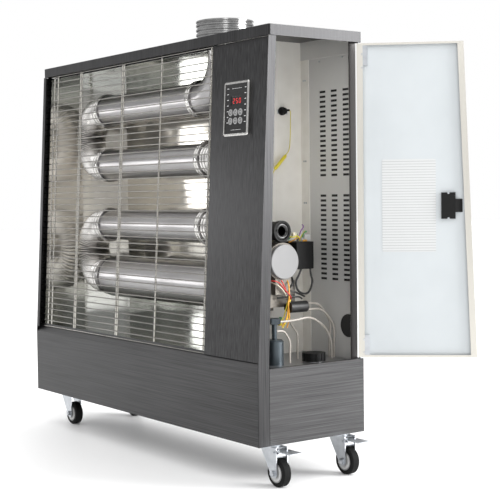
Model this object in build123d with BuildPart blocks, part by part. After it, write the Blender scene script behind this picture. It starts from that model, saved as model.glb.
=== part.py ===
from build123d import *

import os
from math import atan, cos, pi, radians, sin, tan

# A mobile diesel infrared heater. Millimetres, +Z up, front towards -Y, floor at Z = 0.
# X = 0 and Y = 0 are the middle of the whole object's box with the service door open.

os.makedirs("parts", exist_ok=True)

# Cabinet
cabinet_width = 1078.0
cabinet_depth = 303.0
cabinet_height = 920.0  # underside of the base to the top of the cover
base_height = 167.0  # upright front of the base, below the sloping front
front_setback = 39.0  # the top of the front stands this far behind its foot
sheet = 1.5  # outer panels
cover_skirt = 24.0  # turned-down edge of the top cover
cover_corner = 4.0  # rounding of the cover's corners
cover_return = 16.0  # flange turned back under the cover's front
tab_depth = 20.0  # overlap of inner tabs and panels
panel_gap = 1.0  # shadow gap between neighbouring panels
sill_rise = 15.0  # sloping sill between base and radiant front
front_recess = 9.0  # radiant front behind the line of the posts
sill_flange = 8.0  # upright flange behind the front panel and grille
base_side_height = 170.0  # right base panel, up to the door opening
tray_sheet = 2.0
tray_lip = 22.0

# Posts
post_foot_width = 29.0  # side face of the right post, seen from the door side
post_head_width = 20.0
post_return = 16.0  # inner return behind the door's free edge
front_lip = 3.0  # bright folded front edge of the right post
left_lip = 14.0  # front flange of the left side panel
jamb_inset = 21.0  # rear jamb, clear of the swinging hinge edge
jamb_depth = 20.0

# Casters
caster_height = 95.0
wheel_diameter = 63.0
wheel_width = 22.0
caster_trail = 28.0  # wheel axis behind the kingpin
caster_inset_side = 38.0  # kingpin from the right side
caster_inset_left = 78.0
caster_inset_front = 62.0
caster_inset_rear = 43.0
plate_size = 58.0
plate_thickness = 2.5
raceway_height = 3.5
kingpin_diameter = 10.0
kingpin_head_diameter = 18.0
kingpin_head_height = 3.0
hub_diameter = 44.0
tyre_edge = 3.0
axle_diameter = 8.0
axle_head_diameter = 13.0
axle_head_height = 3.0
axle_clearance = 0.05  # radial
fork_gap = 3.0  # each side, wheel to fork leg
fork_sheet = 2.5
fork_length = 58.0  # of a leg along its top
fork_offset = 9.0  # middle of a leg's top behind the kingpin
fork_boss = 22.0
swivel_radius = 24.0
swivel_gap = 0.4
pedal_reach = 88.0  # from the kingpin
pedal_width = 34.0
pedal_sheet = 2.0
pedal_pivot_offset = 30.0  # behind the kingpin
pedal_pivot_height = 78.0
pedal_pin_diameter = 5.0
pedal_arm_width = 24.0
pedal_arm_end = 44.0
pedal_arm_depth = 7.5
brake_pad_length = 12.0
brake_pad_depth = 12.0

# Door
door_open_angle = 138.0  # from closed
door_thickness = 16.0
door_sheet = 1.2
hinge_inset = 5.0  # pivot axis from the door's outer faces
hinge_overhang = 4.0
hinge_pin_diameter = 5.0
hinge_pin_clearance = 0.05  # radial
door_gap = 3.0  # free edge to post
door_bottom_gap = 4.0
door_top_gap = 3.0
door_lip = 14.0  # return along hinge side and free edge
door_lip_ends = 5.0
liner_recess = 6.0  # grey liner below the lips
liner_sheet = 1.0
hinge_height = 50.0
hinge_width = 24.0
hinge_hole_gap = 0.2  # radial, in the pan's end walls
washer_diameter = 9.0
washer_gap = 0.3  # under the door

# Door latch, measured from the pivot and from the base's underside
latch_along = 202.0
latch_height = 521.0
latch_width = 36.0
latch_length = 64.0
latch_rim = 2.0  # flange outside the door, its thickness and its width
latch_depth = 15.0
pocket_depth = 6.0
tongue_reach = 16.0
tongue_height = 30.0
lever_gap = 0.5
lever_thickness = 2.4
lever_pin_diameter = 2.4
lever_pin_clearance = 0.05  # radial
lever_pin_reach = 1.0  # into the body at each end
lever_pivot = 12.0  # from the middle of the latch

# Front panel and control unit
front_panel_width = 225.0  # from the right side
panel_flange = 7.0
bezel_width = 95.0
bezel_height = 122.0
bezel_rim = 5.0
bezel_depth = 7.0
bezel_corner = 5.0
bezel_from_right = 118.0  # centre of the unit
bezel_drop = 176.0  # centre of the unit below the top of the cover
face_recess = 2.0
face_thickness = 3.0
display_width = 44.0
display_height = 21.0
display_up = 17.5
display_depth = 1.0
button_diameter = 16.0
button_pitch = 19.0
button_drop = 18.0  # centre of the two rows below the unit's centre
button_side = -1.7
button_clearance = 0.3
button_stand = 1.5  # proud of the face
button_collar = 1.0  # retaining collar behind the face, its thickness and its width

# Heat tubes
tube_diameter = 83.0
chamber_diameter = 111.0  # lowest tube, where the flame burns
tube_wall = 1.5
tube_depth = 150.0  # tube axes behind the foot of the front
tube_shares = (0.8259, 0.556, 0.2593)  # of the way from the chamber's axis up to the reflector's roof
chamber_height = 327.0  # above the base's underside
tube_left = 178.0  # left tube ends from the left side
tube_right = 395.0  # right tube ends from the right side
bend_straight = 35.0
pleat_count = 9
pleat_depth = 3.0
bend_wall = 2.0
chamber_neck = 96.0  # lower bend where it meets the chamber
chamber_taper = 16.0
clamp_width = 15.0
clamp_thickness = 4.0

# Flue
flue_from_right = 325.0
spigot_height = 52.0
spigot_diameter = 140.0
spigot_bore = 128.0
spigot_ribs = 4
rib_depth = 3.0
spigot_rim = 6.0
flange_width = 10.0
flange_thickness = 1.5

# Reflector, polished sheet
reflector_sheet = 0.8
reflector_back = 262.0  # behind the foot of the front
reflector_wing_depth = 150.0
reflector_side_gap = 14.0
reflector_corner = 70.0
reflector_inset = 18.0  # front edge behind the line of the posts
reflector_top_gap = 30.0  # below the top of the cover
reflector_floor = 187.0
riser_gap = 1.0  # around the flue elbow where it leaves the reflector

# Grille
wire_diameter = 3.0
wire_sides = 8
wire_count = 44
weld_gap = 0.02  # the wires touch the rods at single points
rod_diameter = 5.0
rod_end_gap = 0.15  # the ends are square to the slope
grille_left_gap = 3.0
grille_right_gap = 226.0
rod_shares = (0.0141, 0.2721, 0.49, 0.4994, 0.7609, 0.7703, 0.9282, 0.9541)  # of the width, from the right

# Burner compartment
partition_from_right = 222.0
partition_sheet = 1.2
partition_flange = 32.0
slot_columns_from_right = (139.5, 98.0, 55.5)
slot_width = 22.0
slot_height = 5.5
slot_pitch = 11.65
slot_rows = 18
slot_tops = (794.0, 547.0)
grommet_from_right = 50.0
grommet_height = 242.0
grommet_diameter = 54.0
grommet_groove = 3.0
grommet_lip = 2.0

# Burner, on the partition and level with the lowest tube
blast_diameter = 76.0
blast_length = 60.0
blast_wall = 2.0
burner_plate_width = 110.0
burner_plate_height = 86.0
burner_plate_thickness = 6.0
burner_plate_drop = 12.0  # its middle below the chamber's axis
nozzle_block_width = 90.0
nozzle_block_height = 61.0
nozzle_block_from_right = 118.0  # its free end
nozzle_block_drop = 6.5  # its middle below the chamber's axis
fan_height = 396.0
fan_case_diameter = 88.0
fan_case_wall = 4.0
fan_case_cheek = 2.0
fan_case_from_right = 104.0
fan_case_length = 62.0
fan_inlet_diameter = 77.0
fan_disc_diameter = 74.0
fan_disc_thickness = 2.0
fan_disc_gap = 5.0
fan_hub_diameter = 20.0
fan_hub_length = 14.0
fan_blades = 12
blade_length = 34.0
blade_depth = 11.0
blade_thickness = 1.4
shaft_diameter = 8.0
shaft_clearance = 0.05  # radial
motor_diameter = 66.0
fan_cover_diameter = 80.0
fan_cover_thickness = 9.0
box_behind_front = 196.0
box_depth = 50.0
box_foot = 376.0
box_height = 64.0
box_from_right = 110.0
intake_height = 466.0
intake_diameter = 44.0
intake_ring_diameter = 49.0
intake_ring_length = 12.0
intake_wall = 2.0
intake_from_right = 104.0
pump_height = 290.0
pump_diameter = 26.0
pump_length = 50.0
pump_from_right = 100.0
pump_behind_front = 163.0
filter_from_right = 80.0
filter_behind_front = 105.0
filter_diameter = 42.0
filter_height = 57.0
filter_neck_diameter = 12.0
filter_neck_height = 35.0
filter_nut_diameter = 26.0
filter_nut_height = 13.0

# Tank in the base
tank_sheet = 1.5
tank_gap_left = 7.5
tank_gap_right = 6.0
tank_gap_front = 20.0
tank_gap_rear = 5.5
tank_gap_top = 2.0
tank_corner = 14.0
neck_from_right = 62.0
neck_behind_front = 205.0
neck_bore = 44.0
neck_wall = 1.5
neck_height = 16.0
cap_diameter = 54.0
cap_height = 19.0
cap_clearance = 0.6
cap_grips = 12
grip_depth = 1.5

# Fuel hoses and wires: height from the base's underside, depth from the foot of the front
hose_diameter = 5.0
wire_loop_diameter = 5.0
hose_routes = {  # from the right side: (depth, height) along the hose
    100.0: ((213, 296), (250, 296), (289, 250), (283, 205), (283, 165)),
    92.0: ((213, 283), (256, 283), (293, 240), (291, 200), (291, 165)),
    81.0: ((118, 261), (165, 261), (212, 268), (256, 240), (275, 205), (275, 165)),
    125.0: ((183, 290), (183, 255), (209, 222), (207, 195), (207, 165)),
    80.0: ((111.5, 240), (133, 240), (151, 214), (149, 190), (149, 165)),
}
wire_routes = {
    113.0: ((211, 374.5), (192, 350), (202, 322), (230, 318), (244, 344), (238, 374.5)),
    205.0: ((248, 748), (251, 690), (243, 632), (226, 575), (219, 518), (221, 440.1)),
}
sensor_size = (16.0, 26.0, 9.0)
sensor_behind_front = 243.0
sensor_height = 752.0

# Datums worked out from the sizes above
door_angle = radians(door_open_angle - 90)
post_slope = (front_setback + post_head_width - post_foot_width) / (cabinet_height - base_height)
door_foot = base_side_height + door_bottom_gap
door_head = cabinet_height - cover_skirt - door_top_gap


def door_length(height):
    """From the hinge axis to the free edge, height measured from the base's underside."""
    closed_edge = post_foot_width + post_slope * (height - base_height) + door_gap
    return cabinet_depth - hinge_inset - closed_edge


door_inner = door_thickness - hinge_inset
door_reach_x = door_length(door_foot) * cos(door_angle) + door_inner * sin(door_angle) - hinge_inset
door_reach_y = door_length(door_foot) * sin(door_angle) + hinge_inset * cos(door_angle) - hinge_inset

left = -(cabinet_width + door_reach_x) / 2
right = left + cabinet_width
front = -(cabinet_depth + door_reach_y) / 2
rear = front + cabinet_depth
bottom = caster_height
base_top = bottom + base_height
cover_top = bottom + cabinet_height
skirt_bottom = cover_top - cover_skirt
sill_top = base_top + sill_rise
front_tilt = atan(front_setback / (cabinet_height - base_height))
hinge_x = right - hinge_inset
hinge_y = rear - hinge_inset
tube_y = front + tube_depth
chamber_z = bottom + chamber_height
reflector_top = cover_top - reflector_top_gap
tube_zs = [chamber_z + share * (reflector_top - chamber_z) for share in tube_shares]
tube_x0 = left + tube_left
tube_x1 = right - tube_right
tube_radius = tube_diameter / 2
chamber_radius = chamber_diameter / 2
flue_x = right - flue_from_right
partition_x = right - partition_from_right
cover_underside = cover_top - sheet


def front_y(z, inset=0.0):
    """The sloping front at height z, or a parallel line behind it."""
    return front + front_setback * max(0.0, z - base_top) / (cover_top - base_top) + inset


def post_rear_y(z):
    """Rear edge of the right post's side face, where the door's free edge closes."""
    return front + post_foot_width + post_slope * max(0.0, z - base_top)


def side_plane(x):
    """Sketch plane seen from the right: x is depth, y is height, extruding towards +X."""
    return Plane.YZ.offset(x)


def facing_plane(y):
    """Sketch plane seen from the front: x is width, y is height, extruding towards -Y."""
    return Plane(origin=(0, y, 0), x_dir=(1, 0, 0), z_dir=(0, -1, 0))


def sloping_plane(x, z, inset):
    """Plane of the sloping front, its y running up the slope."""
    return Plane(
        origin=(x, front_y(z, inset), z),
        x_dir=(1, 0, 0),
        z_dir=(0, -cos(front_tilt), sin(front_tilt)),
    )


# Tray of the base, one sheet folded up into the right base panel, seen from the front
seam_y = front + post_foot_width + panel_gap
with BuildPart() as base_tray:
    with BuildSketch(facing_plane(rear - sheet)):
        with BuildLine():
            Polyline(
                (left + sheet, bottom + tray_lip),
                (left + sheet, bottom),
                (right, bottom),
                (right, bottom + base_side_height),
                (right - tray_lip / 2, bottom + base_side_height),
            )
            offset(amount=tray_sheet, side=Side.LEFT)
        make_face()
    extrude(amount=rear - sheet - seam_y)
    with BuildSketch(Plane.XY.offset(bottom)):
        with Locations(((left + right) / 2, (front + sheet + seam_y) / 2)):
            Rectangle(cabinet_width - 2 * sheet, seam_y - front - sheet)
    extrude(amount=tray_sheet)
base_tray.part.label = "base_tray"
export_step(base_tray.part, "parts/base_tray.step")

# Front of the base with its sloping sill and the flange that carries grille and front panel
panel_back = front_recess + sheet / cos(front_tilt)
grille_back = front_recess + wire_diameter / cos(front_tilt)
flange_top = sill_top + sill_flange
with BuildPart() as base_front:
    with BuildSketch(side_plane(left + sheet)):
        with BuildLine():
            Polyline(
                (front, bottom),
                (front, base_top),
                (front_y(sill_top, grille_back), sill_top),
                (front_y(flange_top, grille_back), flange_top),
            )
            offset(amount=sheet, side=Side.RIGHT)
        make_face()
    extrude(amount=cabinet_width - sheet - front_lip)
base_front.part.label = "base_front_panel"
export_step(base_front.part, "parts/base_front_panel.step")

# Right post, a side face with a bright front lip and an inner return that reaches into the cover
post_top = skirt_bottom - panel_gap
with BuildPart() as right_post:
    with BuildSketch(side_plane(right - sheet)):
        with BuildLine():
            Polyline(
                (front, bottom),
                (front, base_top),
                (front_y(post_top), post_top),
                (post_rear_y(post_top), post_top),
                (post_rear_y(base_top), base_top),
                (post_rear_y(base_top), bottom),
                close=True,
            )
        make_face()
    extrude(amount=sheet)
    with BuildSketch(side_plane(right - front_lip)):
        with BuildLine():
            Polyline(
                (front, bottom),
                (front, base_top),
                (front_y(post_top), post_top),
                (front_y(post_top, sheet), post_top),
                (front + sheet, base_top),
                (front + sheet, bottom),
                close=True,
            )
        make_face()
    extrude(amount=front_lip)
    with BuildSketch(side_plane(right - post_return)):
        with BuildLine():
            Polyline(
                (post_rear_y(sill_top) - sheet, sill_top),
                (post_rear_y(sill_top), sill_top),
                (post_rear_y(post_top), post_top),
                (post_rear_y(post_top), cover_underside),
                (post_rear_y(post_top) - sheet, cover_underside),
                (post_rear_y(post_top) - sheet, post_top),
                close=True,
            )
        make_face()
    extrude(amount=post_return - sheet)
right_post.part.label = "right_front_post"
export_step(right_post.part, "parts/right_front_post.step")

# Left side panel with its front flange and the tab inside the cover
with BuildPart() as left_panel:
    with BuildSketch(side_plane(left)):
        with BuildLine():
            Polyline(
                (front, bottom),
                (front, base_top),
                (front_y(post_top), post_top),
                (rear, post_top),
                (rear, bottom),
                close=True,
            )
        make_face()
    extrude(amount=sheet)
    with BuildSketch(side_plane(left)):
        with BuildLine():
            Polyline(
                (front_y(sill_top), sill_top),
                (front_y(post_top), post_top),
                (front_y(post_top, sheet), post_top),
                (front_y(sill_top, sheet), sill_top),
                close=True,
            )
        make_face()
    extrude(amount=left_lip)
    with BuildSketch(side_plane(left + sheet)):
        with Locations(((front + rear) / 2 + tab_depth, (cover_underside + post_top - tab_depth) / 2)):
            Rectangle(cabinet_depth / 2, cover_underside - post_top + tab_depth)
    extrude(amount=sheet)
left_panel.part.label = "left_side_panel"
export_step(left_panel.part, "parts/left_side_panel.step")

# Rear panel with its slots, the jamb beside the door and a tab inside the cover
jamb_x = right - jamb_inset
with BuildPart() as rear_panel:
    with BuildSketch(facing_plane(rear)):
        with BuildLine():
            Polyline(
                (left + sheet, bottom),
                (right, bottom),
                (right, bottom + base_side_height),
                (jamb_x, bottom + base_side_height),
                (jamb_x, post_top),
                (left + sheet, post_top),
                close=True,
            )
        make_face()
    extrude(amount=sheet)
    with BuildSketch(Plane.XY.offset(base_top)):
        with Locations((jamb_x - sheet / 2, rear - (jamb_depth + sheet) / 2)):
            Rectangle(sheet, jamb_depth - sheet)
    extrude(amount=cover_underside - base_top)
    with BuildSketch(facing_plane(rear - sheet)):
        with Locations(((left + jamb_x) / 2, (cover_underside + post_top - tab_depth) / 2)):
            Rectangle(jamb_x - left - 2 * tab_depth, cover_underside - post_top + tab_depth)
    extrude(amount=sheet)
    with BuildSketch(facing_plane(rear)):
        for from_right in slot_columns_from_right:
            for top in slot_tops:
                with Locations((right - from_right, bottom + top - slot_pitch * (slot_rows - 1) / 2)):
                    with GridLocations(slot_pitch, slot_pitch, 1, slot_rows):
                        Rectangle(slot_width, slot_height)
        with Locations((right - grommet_from_right, bottom + grommet_height)):
            Circle(grommet_diameter / 2 - grommet_groove)
    extrude(amount=sheet, mode=Mode.SUBTRACT)
rear_panel.part.label = "rear_panel"
export_step(rear_panel.part, "parts/rear_panel.step")

# Rubber grommet in the rear panel, closed by its membrane
with BuildPart() as grommet:
    with BuildSketch(facing_plane(rear + grommet_lip)):
        with Locations((right - grommet_from_right, bottom + grommet_height)):
            Circle(grommet_diameter / 2)
    extrude(amount=2 * grommet_lip + sheet)
    with BuildSketch(facing_plane(rear)):
        with Locations((right - grommet_from_right, bottom + grommet_height)):
            Circle(grommet_diameter)
            Circle(grommet_diameter / 2 - grommet_groove, mode=Mode.SUBTRACT)
    extrude(amount=sheet, mode=Mode.SUBTRACT)
    with BuildSketch(facing_plane(rear + grommet_lip)):
        with Locations((right - grommet_from_right, bottom + grommet_height)):
            Circle(grommet_diameter / 2 - 2 * grommet_groove)
    extrude(amount=grommet_lip, mode=Mode.SUBTRACT)
grommet.part.label = "grommet"
export_step(grommet.part, "parts/grommet.step")

# Top cover, a pan turned down over the cabinet, with the flue opening
cover_front = front + front_setback
flue_opening = spigot_bore / 2
with BuildPart() as top_cover:
    with BuildSketch(Plane.XY.offset(skirt_bottom)):
        with Locations(((left + right) / 2, (cover_front + rear) / 2)):
            RectangleRounded(cabinet_width, rear - cover_front, cover_corner)
    extrude(amount=cover_skirt)
    with BuildSketch(Plane.XY.offset(skirt_bottom)):
        with Locations(((left + right) / 2, (cover_front + rear) / 2)):
            RectangleRounded(cabinet_width - 2 * sheet, rear - cover_front - 2 * sheet, cover_corner - sheet)
    extrude(amount=cover_skirt - sheet, mode=Mode.SUBTRACT)
    with BuildSketch(Plane.XY.offset(skirt_bottom)):
        with Locations(((left + right) / 2, cover_front + cover_return / 2)):
            Rectangle(cabinet_width - 2 * post_return, cover_return)
    extrude(amount=sheet)
    with BuildSketch(Plane.XY.offset(cover_underside)):
        with Locations((flue_x, tube_y)):
            Circle(flue_opening)
    extrude(amount=sheet, mode=Mode.SUBTRACT)
top_cover.part.label = "top_cover"
export_step(top_cover.part, "parts/top_cover.step")

# Front panel beside the grille, on the slope, with the opening for the control unit
panel_foot = sill_top + panel_gap / 2
panel_length = (post_top - panel_foot) / cos(front_tilt)
panel_width = front_panel_width - front_lip
panel_middle_x = right - front_lip - panel_width / 2
panel_plane = sloping_plane(panel_middle_x, panel_foot, panel_back)
unit_x = right - bezel_from_right
unit_z = cover_top - bezel_drop
unit_on_panel = (unit_x - panel_middle_x, (unit_z - panel_foot) / cos(front_tilt))
unit_width = bezel_width - 2 * bezel_rim
unit_height = bezel_height - 2 * bezel_rim
with BuildPart() as front_panel:
    with BuildSketch(panel_plane):
        with Locations((0, panel_length / 2)):
            Rectangle(panel_width, panel_length)
        with Locations(unit_on_panel):
            Rectangle(unit_width, unit_height, mode=Mode.SUBTRACT)
    extrude(amount=sheet)
    with BuildSketch(panel_plane):
        with Locations(((sheet - panel_width) / 2, (panel_length + sill_flange) / 2)):
            Rectangle(sheet, panel_length - sill_flange - 2 * sheet)
    extrude(amount=-panel_flange)
front_panel.part.label = "front_panel"
export_step(front_panel.part, "parts/front_panel.step")

# Control unit: chrome bezel, black face and six sprung buttons
unit_plane = sloping_plane(unit_x, unit_z, front_recess)
with BuildPart() as control_bezel:
    with BuildSketch(unit_plane):
        RectangleRounded(bezel_width, bezel_height, bezel_corner)
        Rectangle(unit_width, unit_height, mode=Mode.SUBTRACT)
    extrude(amount=bezel_depth)
    chamfer(control_bezel.faces().sort_by(Axis.Y)[0].outer_wire().edges(), bezel_depth / 4)
control_bezel.part.label = "control_bezel"
export_step(control_bezel.part, "parts/control_bezel.step")

button_places = [
    (button_side + column * button_pitch, -button_drop - row * button_pitch)
    for row in (-0.5, 0.5)
    for column in (-1, 0, 1)
]
face_front = bezel_depth - face_recess
with BuildPart() as control_face:
    with BuildSketch(unit_plane.offset(face_front - face_thickness)):
        Rectangle(unit_width, unit_height)
        with Locations(*button_places):
            Circle(button_diameter / 2 + button_clearance, mode=Mode.SUBTRACT)
    extrude(amount=face_thickness)
    with BuildSketch(unit_plane.offset(face_front - display_depth)):
        with Locations((0, display_up)):
            Rectangle(display_width, display_height)
    extrude(amount=display_depth, mode=Mode.SUBTRACT)
control_face.part.label = "control_face"
export_step(control_face.part, "parts/control_face.step")

button_names = ("power", "mode", "timer", "down", "up", "set")
for name, place in zip(button_names, button_places):
    with BuildPart() as button:
        with BuildSketch(unit_plane.offset(face_front - face_thickness - button_collar)):
            with Locations(place):
                Circle(button_diameter / 2)
        extrude(amount=face_thickness + button_collar + button_stand)
        chamfer(button.faces().sort_by(Axis.Y)[0].edges(), button_stand / 2)
        with BuildSketch(unit_plane.offset(face_front - face_thickness - button_collar)):
            with Locations(place):
                Circle(button_diameter / 2 + button_collar)
        extrude(amount=button_collar)
    button.part.label = f"button_{name}"
    export_step(button.part, f"parts/button_{name}.step")

# Reflector, a polished sheet folded round the tubes, with its floor and its roof
reflector_bottom = bottom + reflector_floor
reflector_left = left + reflector_side_gap
with BuildPart() as reflector:
    with BuildSketch(Plane.XY.offset(reflector_bottom)):
        with BuildLine():
            Polyline(
                (partition_x, front),
                (reflector_left, front),
                (reflector_left, front + reflector_wing_depth),
                (reflector_left + reflector_corner, front + reflector_back),
                (partition_x, front + reflector_back),
                close=True,
            )
        make_face()
    extrude(amount=reflector_top - reflector_bottom)
    with BuildSketch(Plane.XY.offset(reflector_bottom + reflector_sheet)):
        with BuildLine():
            Polyline(
                (partition_x + reflector_sheet, front - reflector_sheet),
                (reflector_left, front - reflector_sheet),
                (reflector_left, front + reflector_wing_depth),
                (reflector_left + reflector_corner, front + reflector_back),
                (partition_x + reflector_sheet, front + reflector_back),
                close=True,
            )
        make_face()
        offset(amount=-reflector_sheet, kind=Kind.INTERSECTION)
    extrude(amount=reflector_top - reflector_bottom - 2 * reflector_sheet, mode=Mode.SUBTRACT)
    with BuildSketch(side_plane(left)):
        with BuildLine():
            Polyline(
                (front - sheet, reflector_bottom - sheet),
                (front_y(reflector_bottom - sheet, reflector_inset), reflector_bottom - sheet),
                (front_y(reflector_top + sheet, reflector_inset), reflector_top + sheet),
                (front - sheet, reflector_top + sheet),
                close=True,
            )
        make_face()
    extrude(amount=cabinet_width, mode=Mode.SUBTRACT)
    with BuildSketch(Plane.XY.offset(reflector_top)):
        with Locations((flue_x, tube_y)):
            Circle(tube_radius + riser_gap)
    extrude(amount=-2 * reflector_sheet, mode=Mode.SUBTRACT)
reflector.part.label = "reflector"
export_step(reflector.part, "parts/reflector.step")

# Grille of level wires following the slope, welded across the stouter upright rods
grille_left = left + grille_left_gap
grille_width = cabinet_width - grille_left_gap - grille_right_gap
lowest_wire = sill_top + wire_diameter / 2 + panel_gap
wire_pitch = (post_top - wire_diameter / 2 - lowest_wire) / (wire_count - 1)
wire_zs = [lowest_wire + wire * wire_pitch for wire in range(wire_count)]
wire_places = [(front_y(z, front_recess + wire_diameter / 2), z) for z in wire_zs]
rod_plane = sloping_plane(grille_left + grille_width, flange_top, grille_back + weld_gap + rod_diameter / 2)
with BuildPart() as grille:
    with BuildSketch(side_plane(grille_left)):
        with Locations(*wire_places):
            RegularPolygon(wire_diameter / 2, wire_sides)
    extrude(amount=grille_width)
    with BuildSketch(Plane(rod_plane.origin, x_dir=rod_plane.x_dir, z_dir=rod_plane.y_dir)):
        for share in rod_shares:
            with Locations((-share * grille_width, 0)):
                Circle(rod_diameter / 2)
    extrude(amount=(skirt_bottom - flange_top) / cos(front_tilt) - rod_end_gap)
grille.part.label = "grille"
export_step(grille.part, "parts/grille.step")

# Heat tubes, three plain steel tubes above one another
elbow_radius = reflector_top - tube_zs[0]
elbow_x = flue_x - elbow_radius
tube_ends = (elbow_x, tube_x1, tube_x1)
with BuildPart() as heat_tubes:
    for z, end in zip(tube_zs, tube_ends):
        with BuildSketch(Plane(origin=(tube_x0, tube_y, z), x_dir=(0, 1, 0), z_dir=(1, 0, 0))):
            Circle(tube_radius)
            Circle(tube_radius - tube_wall, mode=Mode.SUBTRACT)
        extrude(amount=end - tube_x0)
heat_tubes.part.label = "heat_tubes"
export_step(heat_tubes.part, "parts/heat_tubes.step")

# Combustion tube with its tapered left end
neck_radius = chamber_neck / 2
taper_x = tube_x0 + chamber_taper
with BuildPart() as combustion_tube:
    with BuildSketch(Plane(origin=(0, tube_y, chamber_z), x_dir=(1, 0, 0), z_dir=(0, -1, 0))):
        with BuildLine():
            Polyline(
                (tube_x0, neck_radius),
                (tube_x0 + chamber_taper / 2, neck_radius),
                (taper_x + chamber_taper / 2, chamber_radius),
                (partition_x, chamber_radius),
                (partition_x, chamber_radius - tube_wall),
                (taper_x + chamber_taper / 2, chamber_radius - tube_wall),
                (tube_x0 + chamber_taper / 2, neck_radius - tube_wall),
                (tube_x0, neck_radius - tube_wall),
                close=True,
            )
        make_face()
    revolve(axis=Axis((0, tube_y, chamber_z), (1, 0, 0)))
combustion_tube.part.label = "combustion_tube"
export_step(combustion_tube.part, "parts/combustion_tube.step")

# Pleated return bends between the tubes, each a ring of folds round a smooth bore
bend_ends = {
    "left_bend_upper": (tube_x0, tube_zs[0], tube_zs[1], -1, tube_radius),
    "right_bend": (tube_x1, tube_zs[1], tube_zs[2], 1, tube_radius),
    "left_bend_lower": (tube_x0, tube_zs[2], chamber_z, -1, neck_radius),
}
bend_bore = tube_radius - pleat_depth - bend_wall
for name, (end_x, upper_z, lower_z, side, lower_radius) in bend_ends.items():
    turn_x = end_x + side * bend_straight
    turn_z = (upper_z + lower_z) / 2
    turn_radius = (upper_z - lower_z) / 2
    folds = 2 * pleat_count
    with BuildPart() as bend:
        with BuildSketch(Plane(origin=(end_x, tube_y, upper_z), x_dir=(0, 1, 0), z_dir=(side, 0, 0))):
            Circle(tube_radius)
        for fold in range(folds + 1):
            turn = pi * fold / folds
            crest_radius = tube_radius + (lower_radius - tube_radius) * fold / folds
            fold_radius = crest_radius - pleat_depth * (fold % 2)
            place = (turn_x + side * turn_radius * sin(turn), tube_y, turn_z + turn_radius * cos(turn))
            with BuildSketch(Plane(origin=place, x_dir=(0, 1, 0), z_dir=(side * cos(turn), 0, -sin(turn)))):
                Circle(fold_radius)
        with BuildSketch(Plane(origin=(end_x, tube_y, lower_z), x_dir=(0, 1, 0), z_dir=(-side, 0, 0))):
            Circle(lower_radius)
        loft(ruled=True)
        with BuildLine(facing_plane(tube_y)) as bore_path:
            Line((end_x, upper_z), (turn_x, upper_z))
            ThreePointArc((turn_x, upper_z), (turn_x + side * turn_radius, turn_z), (turn_x, lower_z))
            Line((turn_x, lower_z), (end_x, lower_z))
        with BuildSketch(Plane(origin=(end_x, tube_y, upper_z), x_dir=(0, 1, 0), z_dir=(side, 0, 0))):
            Circle(bend_bore)
        sweep(path=bore_path.wires()[0], mode=Mode.SUBTRACT)
    bend.part.label = name
    export_step(bend.part, f"parts/{name}.step")

# Clamping rings over the joints of tubes and bends
clamp_places = (
    (tube_x0, tube_zs[0], tube_radius),
    (tube_x0, tube_zs[1], tube_radius),
    (tube_x0, tube_zs[2], tube_radius),
    (tube_x0, chamber_z, neck_radius),
    (tube_x1, tube_zs[1], tube_radius),
    (tube_x1, tube_zs[2], tube_radius),
    (elbow_x - clamp_width / 2, tube_zs[0], tube_radius),
)
with BuildPart() as tube_clamps:
    for x, z, inner_radius in clamp_places:
        with BuildSketch(Plane(origin=(x - clamp_width / 2, tube_y, z), x_dir=(0, 1, 0), z_dir=(1, 0, 0))):
            Circle(inner_radius + clamp_thickness)
            Circle(inner_radius, mode=Mode.SUBTRACT)
        extrude(amount=clamp_width)
tube_clamps.part.label = "tube_clamps"
export_step(tube_clamps.part, "parts/tube_clamps.step")

# Flue elbow, a quarter turn and the cone that meets the cover
flue_axis = Axis((flue_x, tube_y, 0), (0, 0, 1))
cone_radius = flue_opening + bend_wall
with BuildPart() as flue_elbow:
    with BuildSketch(Plane(origin=(elbow_x, tube_y, tube_zs[0]), x_dir=(0, 1, 0), z_dir=(1, 0, 0))):
        Circle(tube_radius)
        Circle(tube_radius - bend_wall, mode=Mode.SUBTRACT)
    revolve(axis=Axis((elbow_x, tube_y, reflector_top), (0, -1, 0)), revolution_arc=90)
    with BuildSketch(facing_plane(tube_y)):
        with BuildLine():
            Polyline(
                (flue_x + tube_radius - bend_wall, reflector_top),
                (flue_x + tube_radius, reflector_top),
                (flue_x + cone_radius, cover_underside),
                (flue_x + cone_radius - bend_wall, cover_underside),
                close=True,
            )
        make_face()
    revolve(axis=flue_axis)
flue_elbow.part.label = "flue_elbow"
export_step(flue_elbow.part, "parts/flue_elbow.step")

# Ribbed flue spigot on the cover, with a rolled rim
spigot_radius = spigot_diameter / 2
rib_pitch = (spigot_height - flange_thickness - spigot_rim) / spigot_ribs
spigot_outline = [
    (flue_opening, cover_top),
    (spigot_radius + flange_width, cover_top),
    (spigot_radius + flange_width, cover_top + flange_thickness),
    (spigot_radius - rib_depth, cover_top + flange_thickness),
]
for rib in range(spigot_ribs):
    rib_z = cover_top + flange_thickness + (rib + 0.5) * rib_pitch
    spigot_outline += [
        (spigot_radius - rib_depth, rib_z - rib_pitch / 3),
        (spigot_radius, rib_z - rib_pitch / 6),
        (spigot_radius, rib_z + rib_pitch / 6),
        (spigot_radius - rib_depth, rib_z + rib_pitch / 3),
    ]
spigot_outline += [
    (spigot_radius - rib_depth, cover_top + spigot_height - spigot_rim),
    (spigot_radius, cover_top + spigot_height - spigot_rim * 0.7),
    (spigot_radius, cover_top + spigot_height - spigot_rim * 0.2),
    (spigot_radius - rib_depth / 2, cover_top + spigot_height),
    (flue_opening, cover_top + spigot_height),
]
with BuildPart() as flue_spigot:
    with BuildSketch(Plane(origin=(flue_x, tube_y, 0), x_dir=(1, 0, 0), z_dir=(0, -1, 0))):
        with BuildLine():
            Polyline(*spigot_outline, close=True)
        make_face()
    revolve(axis=flue_axis)
flue_spigot.part.label = "flue_spigot"
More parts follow.
